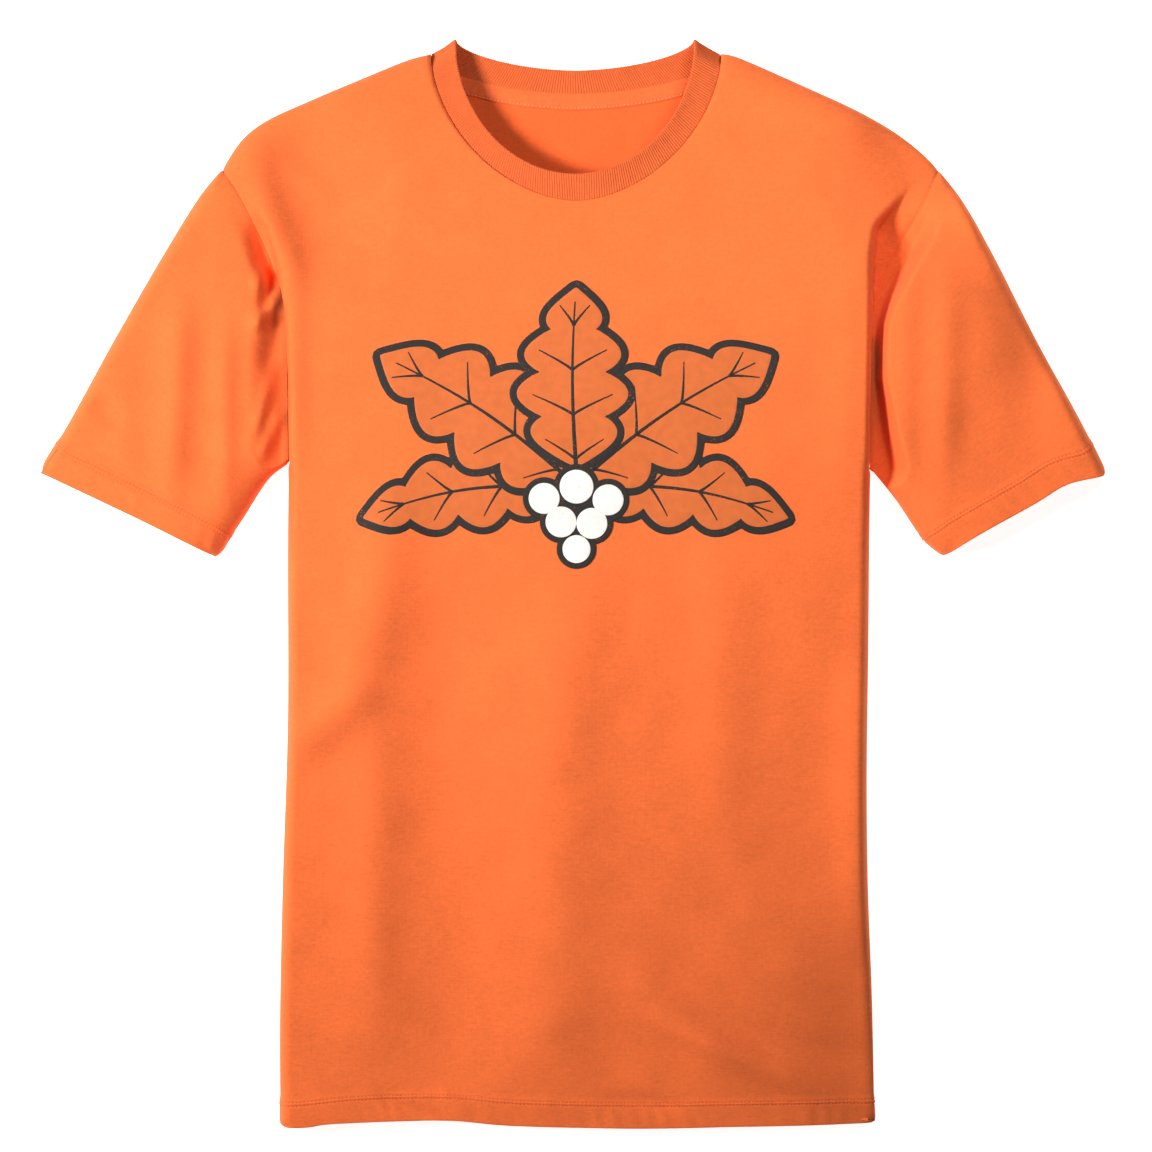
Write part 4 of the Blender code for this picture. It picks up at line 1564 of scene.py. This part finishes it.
@dataclass
class LeafPrint:
    """A fan of autumn leaves with a bunch of pale berries, printed on the chest in three inks.

    The leaves and berries overlap. What lies under another one isn't printed, and the films that
    meet there lie one above the other, each a little higher than the last.

    Attributes:
        form: The laid shirt's form, on whose front the ink lies.
        border: How wide the dark borders are.
        film: How thick each film of ink is, several times the real one, to stay clear of the knit.
        mesh: The distance between the points inside a printed area.
        low: How far the lowest film stands above the cloth.
        step: How much higher each leaf is than the one before, and a film than the one under it.
        leaves: The leaves, the lowest first.
        berries: The berries: middle and radius.
    """

    form: LaidForm
    border: float = 5.0 * MM
    film: float = 0.3 * MM
    mesh: float = 2.2 * MM
    low: float = 0.16 * MM
    step: tuple[float, float] = (0.09 * MM, 0.03 * MM)
    leaves: tuple[Leaf, ...] = (
        Leaf((-0.009, 0.066), 99, 0.136, 0.027, -0.06),
        Leaf((0.012, 0.066), -99, 0.136, 0.027, 0.06),
        Leaf((-0.006, 0.074), 57, 0.150, 0.038, -0.04),
        Leaf((0.009, 0.074), -57, 0.150, 0.038, 0.04),
        Leaf((0.0017, 0.080), 0, 0.122, 0.038, 0.02),
    )
    berries: tuple[tuple[float, float, float], ...] = (
        (0.0020, 0.0660, 0.0115),
        (-0.0200, 0.0580, 0.0105),
        (0.0235, 0.0570, 0.0105),
        (-0.0085, 0.0420, 0.0105),
        (0.0125, 0.0410, 0.0105),
        (0.0020, 0.0235, 0.0095),
    )

    def on_cloth(self, plan: np.ndarray, above: float) -> np.ndarray:
        """Puts points of the plan on the front, this far above the cloth."""
        return np.column_stack([plan, self.form.front(plan) + above])

    def line(self, middle: np.ndarray, start: float, end: float, above: float) -> Film:
        """Makes a printed line.

        Args:
            middle: Its middle on the plan.
            start: Its width at the start.
            end: Its width at the end.
            above: How far it lies above the cloth.

        Returns:
            Its film.
        """
        count = max(3, round(reach_along(middle)[-1] / (1.8 * MM)))
        share = np.linspace(0, 1, count)
        middle = along(middle, share)
        way = np.gradient(middle, axis=0)
        way /= np.linalg.norm(way, axis=1)[:, None]
        left = np.column_stack([-way[:, 1], way[:, 0]])
        aside = (start + (end - start) * share)[:, None] * np.array([0.5, 0, -0.5])
        plan = middle[:, None] + aside[..., None] * left[:, None]
        faces = grid_faces(count, 3)[:, [0, 1, 2, 0, 2, 3]].reshape(-1, 3)
        return Film(self.on_cloth(plan.reshape(-1, 2), above), faces)

    def patch(self, edge: np.ndarray, above: float) -> Film:
        """Makes a printed area from its closed edge."""
        low, high = edge.min(0), edge.max(0)
        grid = np.meshgrid(*[np.arange(low[k], high[k], self.mesh) for k in range(2)])
        spots = np.stack(grid, axis=-1).reshape(-1, 2)
        clear = distances(spots, np.vstack([edge, edge[:1]]))[0] > self.mesh * 0.55
        spots = spots[clear & inside(spots, edge)]
        points = [Vector(p) for p in np.vstack([edge, spots])]
        border = [(k, (k + 1) % len(edge)) for k in range(len(edge))]
        made = geometry.delaunay_2d_cdt(points, border, [], 1, 1e-7)
        plan = np.array([tuple(p) for p in made[0]])
        return Film(self.on_cloth(plan, above), np.array([list(f) for f in made[2]]))

    def joined(
        self, name: str, films: list[Film], material: bpy.types.Material
    ) -> bpy.types.Object:
        """Makes one ink's films as one object, all facing up."""
        points, faces, count = [], [], 0
        for film in films:
            at = film.points[film.faces]
            down = np.cross(at[:, 1] - at[:, 0], at[:, 2] - at[:, 0])[:, 2] < 0
            corners = np.where(down[:, None], film.faces[:, ::-1], film.faces)
            used, numbers = np.unique(corners, return_inverse=True)
            points.append(film.points[used])
            faces.append(numbers.reshape(-1, 3) + count)
            count += len(used)
        piece = mesh_object(name, np.vstack(points), np.vstack(faces))
        piece.data.materials.append(material)
        give_thickness(piece, self.film)
        flat = piece.modifiers.new("Flat film", "WEIGHTED_NORMAL")
        flat.weight = 100
        LOG.info("%s: %d faces", name, len(piece.data.polygons))
        return piece

    def build(self, fill: Ink, dark: Ink, pale: Ink) -> list[bpy.types.Object]:
        """Makes the three inks' films."""
        fills, darks, pales = [], [], []
        rings = [circle((x, y), radius + self.border * 0.8) for x, y, radius in self.berries]
        rise, lift = self.step
        for k, leaf in enumerate(self.leaves):
            over = [other.blade(self.border) for other in self.leaves[k + 1 :]] + rings
            level = self.low + k * rise
            darks.append(self.patch(leaf.blade(self.border), level).without(over))
            fills.append(self.patch(leaf.blade(), level + lift).without(over))
            for middle, start, end in leaf.veins():
                darks.append(self.line(middle, start, end, level + 2 * lift).without(over))
        level = self.low + len(self.leaves) * rise
        for k, (x, y, radius) in enumerate(self.berries):
            darks.append(self.patch(rings[k], level + 0.1 * k * lift).without(rings[k + 1 :]))
            pales.append(self.patch(circle((x, y), radius), level + 1.5 * lift))
        return [
            self.joined("print_leaves", fills, fill.build()),
            self.joined("print_lines", darks, dark.build()),
            self.joined("print_berries", pales, pale.build()),
        ]


# The place and the light


@dataclass(frozen=True)
class Studio:
    """A pale floor under soft light from the upper left, seen from straight above.

    Attributes:
        frame_width: How much the picture shows from left to right, at the height level.
        middle: The picture's middle on the plan.
        level: About the height of the shirt's edges.
        lens: The lens's focal length, in mm.
        sensor: The sensor's width, in mm.
        floor_size: The length of the floor's sides.
    """

    frame_width: float = 0.7914
    middle: tuple[float, float] = (0.0017, 0.0052)
    level: float = 0.010
    lens: float = 135.0
    sensor: float = 36.0
    floor_size: float = 6.0

    def floor(self) -> bpy.types.Object:
        """Makes the floor."""
        corners = np.array([(-1, -1, 0), (1, -1, 0), (1, 1, 0), (-1, 1, 0)]) * self.floor_size / 2
        floor = mesh_object("floor", corners, np.array([[0, 1, 2, 3]]))
        floor.data.materials.append(OpalSheet().build())
        return floor

    def camera(self) -> bpy.types.Object:
        """Makes the camera and makes it the scene's."""
        data = bpy.data.cameras.new("camera")
        data.lens = self.lens
        data.sensor_width = self.sensor
        camera = bpy.data.objects.new("camera", data)
        height = self.level + self.lens / self.sensor * self.frame_width
        camera.location = (*self.middle, height)
        bpy.context.scene.collection.objects.link(camera)
        bpy.context.scene.camera = camera
        return camera

    def lamp(
        self,
        name: str,
        place: tuple[float, float, float],
        size: float,
        power: float,
        aim: tuple[float, float, float] = (0.0, 0.0, 0.0),
        spread: float = math.pi,
    ) -> bpy.types.Object:
        """Makes a square soft box.

        Args:
            name: Its name.
            place: Where it stands.
            size: The length of its sides.
            power: Its power in watts.
            aim: The point that it faces.
            spread: How wide its grid lets the light out, in radians.

        Returns:
            The lamp.
        """
        data = bpy.data.lights.new(name, "AREA")
        data.size = size
        data.energy = power
        data.color = linear("#fffefb")[:3]
        data.spread = spread
        lamp = bpy.data.objects.new(name, data)
        lamp.location = place
        lamp.rotation_euler = (Vector(aim) - Vector(place)).to_track_quat("-Z", "Y").to_euler()
        bpy.context.scene.collection.objects.link(lamp)
        return lamp

    def light(self) -> None:
        """Lights the shirt: a gridded soft box at the left fades towards the hem."""
        self.lamp("key", (-1.115, 0.10, 1.216), 0.42, 13.9, (0.19, 0.24, 0.0), 1.94)
        self.lamp("fill", (0.285, 0.46, 0.60), 0.24, 2.2)
        world = bpy.data.worlds.new("room")
        world.use_nodes = True
        background = world.node_tree.nodes["Background"]
        background.inputs["Color"].default_value = linear("#fffdfb")
        background.inputs["Strength"].default_value = 0.04
        bpy.context.scene.world = world

    def build(self) -> None:
        """Sets up floor, camera and light."""
        self.floor()
        self.camera()
        self.light()
        bpy.context.scene.view_settings.view_transform = "Standard"


@dataclass
class Shirt:
    """The whole shirt: its pieces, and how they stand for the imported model's nodes."""

    form: LaidForm
    made: dict[str, bpy.types.Object] = field(default_factory=dict)

    def keep(self, piece: bpy.types.Object, node: str = "") -> bpy.types.Object:
        """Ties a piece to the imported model."""
        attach(piece, BODY)
        if node:
            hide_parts(node)
        self.made[piece.name] = piece
        return piece

    def sew(
        self,
        name: str,
        rows: list[tuple[np.ndarray, np.ndarray]],
        thread: Thread = Thread(),
    ) -> None:
        """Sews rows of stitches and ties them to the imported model.

        Args:
            name: The piece's name.
            rows: For each row, its line and the cloth's normals along it.
            thread: The thread's finish.
        """
        # The second finish is painted shade for the needle holes, a deep orange on flat beads.
        finishes = self.finish(thread), self.finish(Thread("thread_in_holes", "#b03c0a"))
        self.keep(Stitching().build(name, rows, *finishes))

    def finish(self, thread: Thread) -> bpy.types.Material:
        """Gives a thread's material, made once."""
        return bpy.data.materials.get(thread.name) or thread.build()

    def cloth(
        self, piece: ClothPiece | Collar | NeckTape, cut: tuple[float, float], lies_on: str
    ) -> None:
        """Takes a piece of cloth, its cut and what it lies on, and does nothing with them.

        Args:
            piece: The piece, already made. It is not used.
            cut: The width and length of its cut, in metres. It is not used.
            lies_on: The name of the piece under it. It is not used.
        """

    def build(self) -> None:
        """Makes every piece."""
        jersey = Jersey("orange_jersey").build()
        front = BodyPanel("front_panel_jersey", self.form)
        coarse = {"across": spaced(0.045, 16, 84), "steps": (84, 34, 24)}
        back = BodyPanel("back_panel_jersey", self.form, front=False, **coarse)
        self.keep(front.build(jersey), "front_panel")
        # The back panel's deeper colour is painted shade for its inside, seen through the neck.
        inside = Jersey("orange_jersey_back", colour="#f0642f").build()
        self.keep(back.build(inside), "back_panel")
        self.cloth(back, (0.520, 0.770), "floor")
        self.cloth(front, (0.520, 0.770), back.name)
        self.sew("front_hem_stitches", list(front.rows.values()))
        self.sew("back_hem_stitches", list(back.rows.values()))
        for side in Side:
            node = f"sleeve_{side.name.lower()}"
            columns = spaced(0.20, 24, 50)
            sleeve = Sleeve(f"{node}_jersey", self.form, side=side, across=columns)
            finish = Jersey(f"orange_jersey_{node}", sleeve.turn()).build()
            self.keep(sleeve.build(finish), node)
            self.cloth(sleeve, (0.460, 0.240), "floor")
            self.sew(f"{node}_stitches", list(sleeve.rows.values()))
        collar = Collar(self.form)
        self.keep(collar.build(RibKnit().build()), "collar")
        self.cloth(collar, (0.480, 0.024), back.name)
        tape = NeckTape(self.form)
        # The tape's slightly deeper colour is painted shade for its place inside the neck.
        self.keep(tape.build(Jersey("orange_tape", colour="#ee6c38").build()), "neck_tape")
        self.cloth(tape, (0.180, 0.0124), back.name)
        self.sew("tape_stitches", [tape.row], Thread("pale_orange_thread", "#ff9a66"))
        names = {"burnt_orange_ink": "#cf6730", "dark_ink": "#282421", "pale_ink": "#ece6e2"}
        for piece in LeafPrint(self.form).build(*[Ink(*item) for item in names.items()]):
            self.keep(piece)


def main() -> None:
    """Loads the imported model, dresses it and sets up the picture."""
    logging.basicConfig(level=logging.INFO, format="%(name)s: %(message)s")
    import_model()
    shirt = Shirt(LaidForm(Outline()))
    shirt.build()
    Studio().build()


if __name__ == "__main__":
    main()
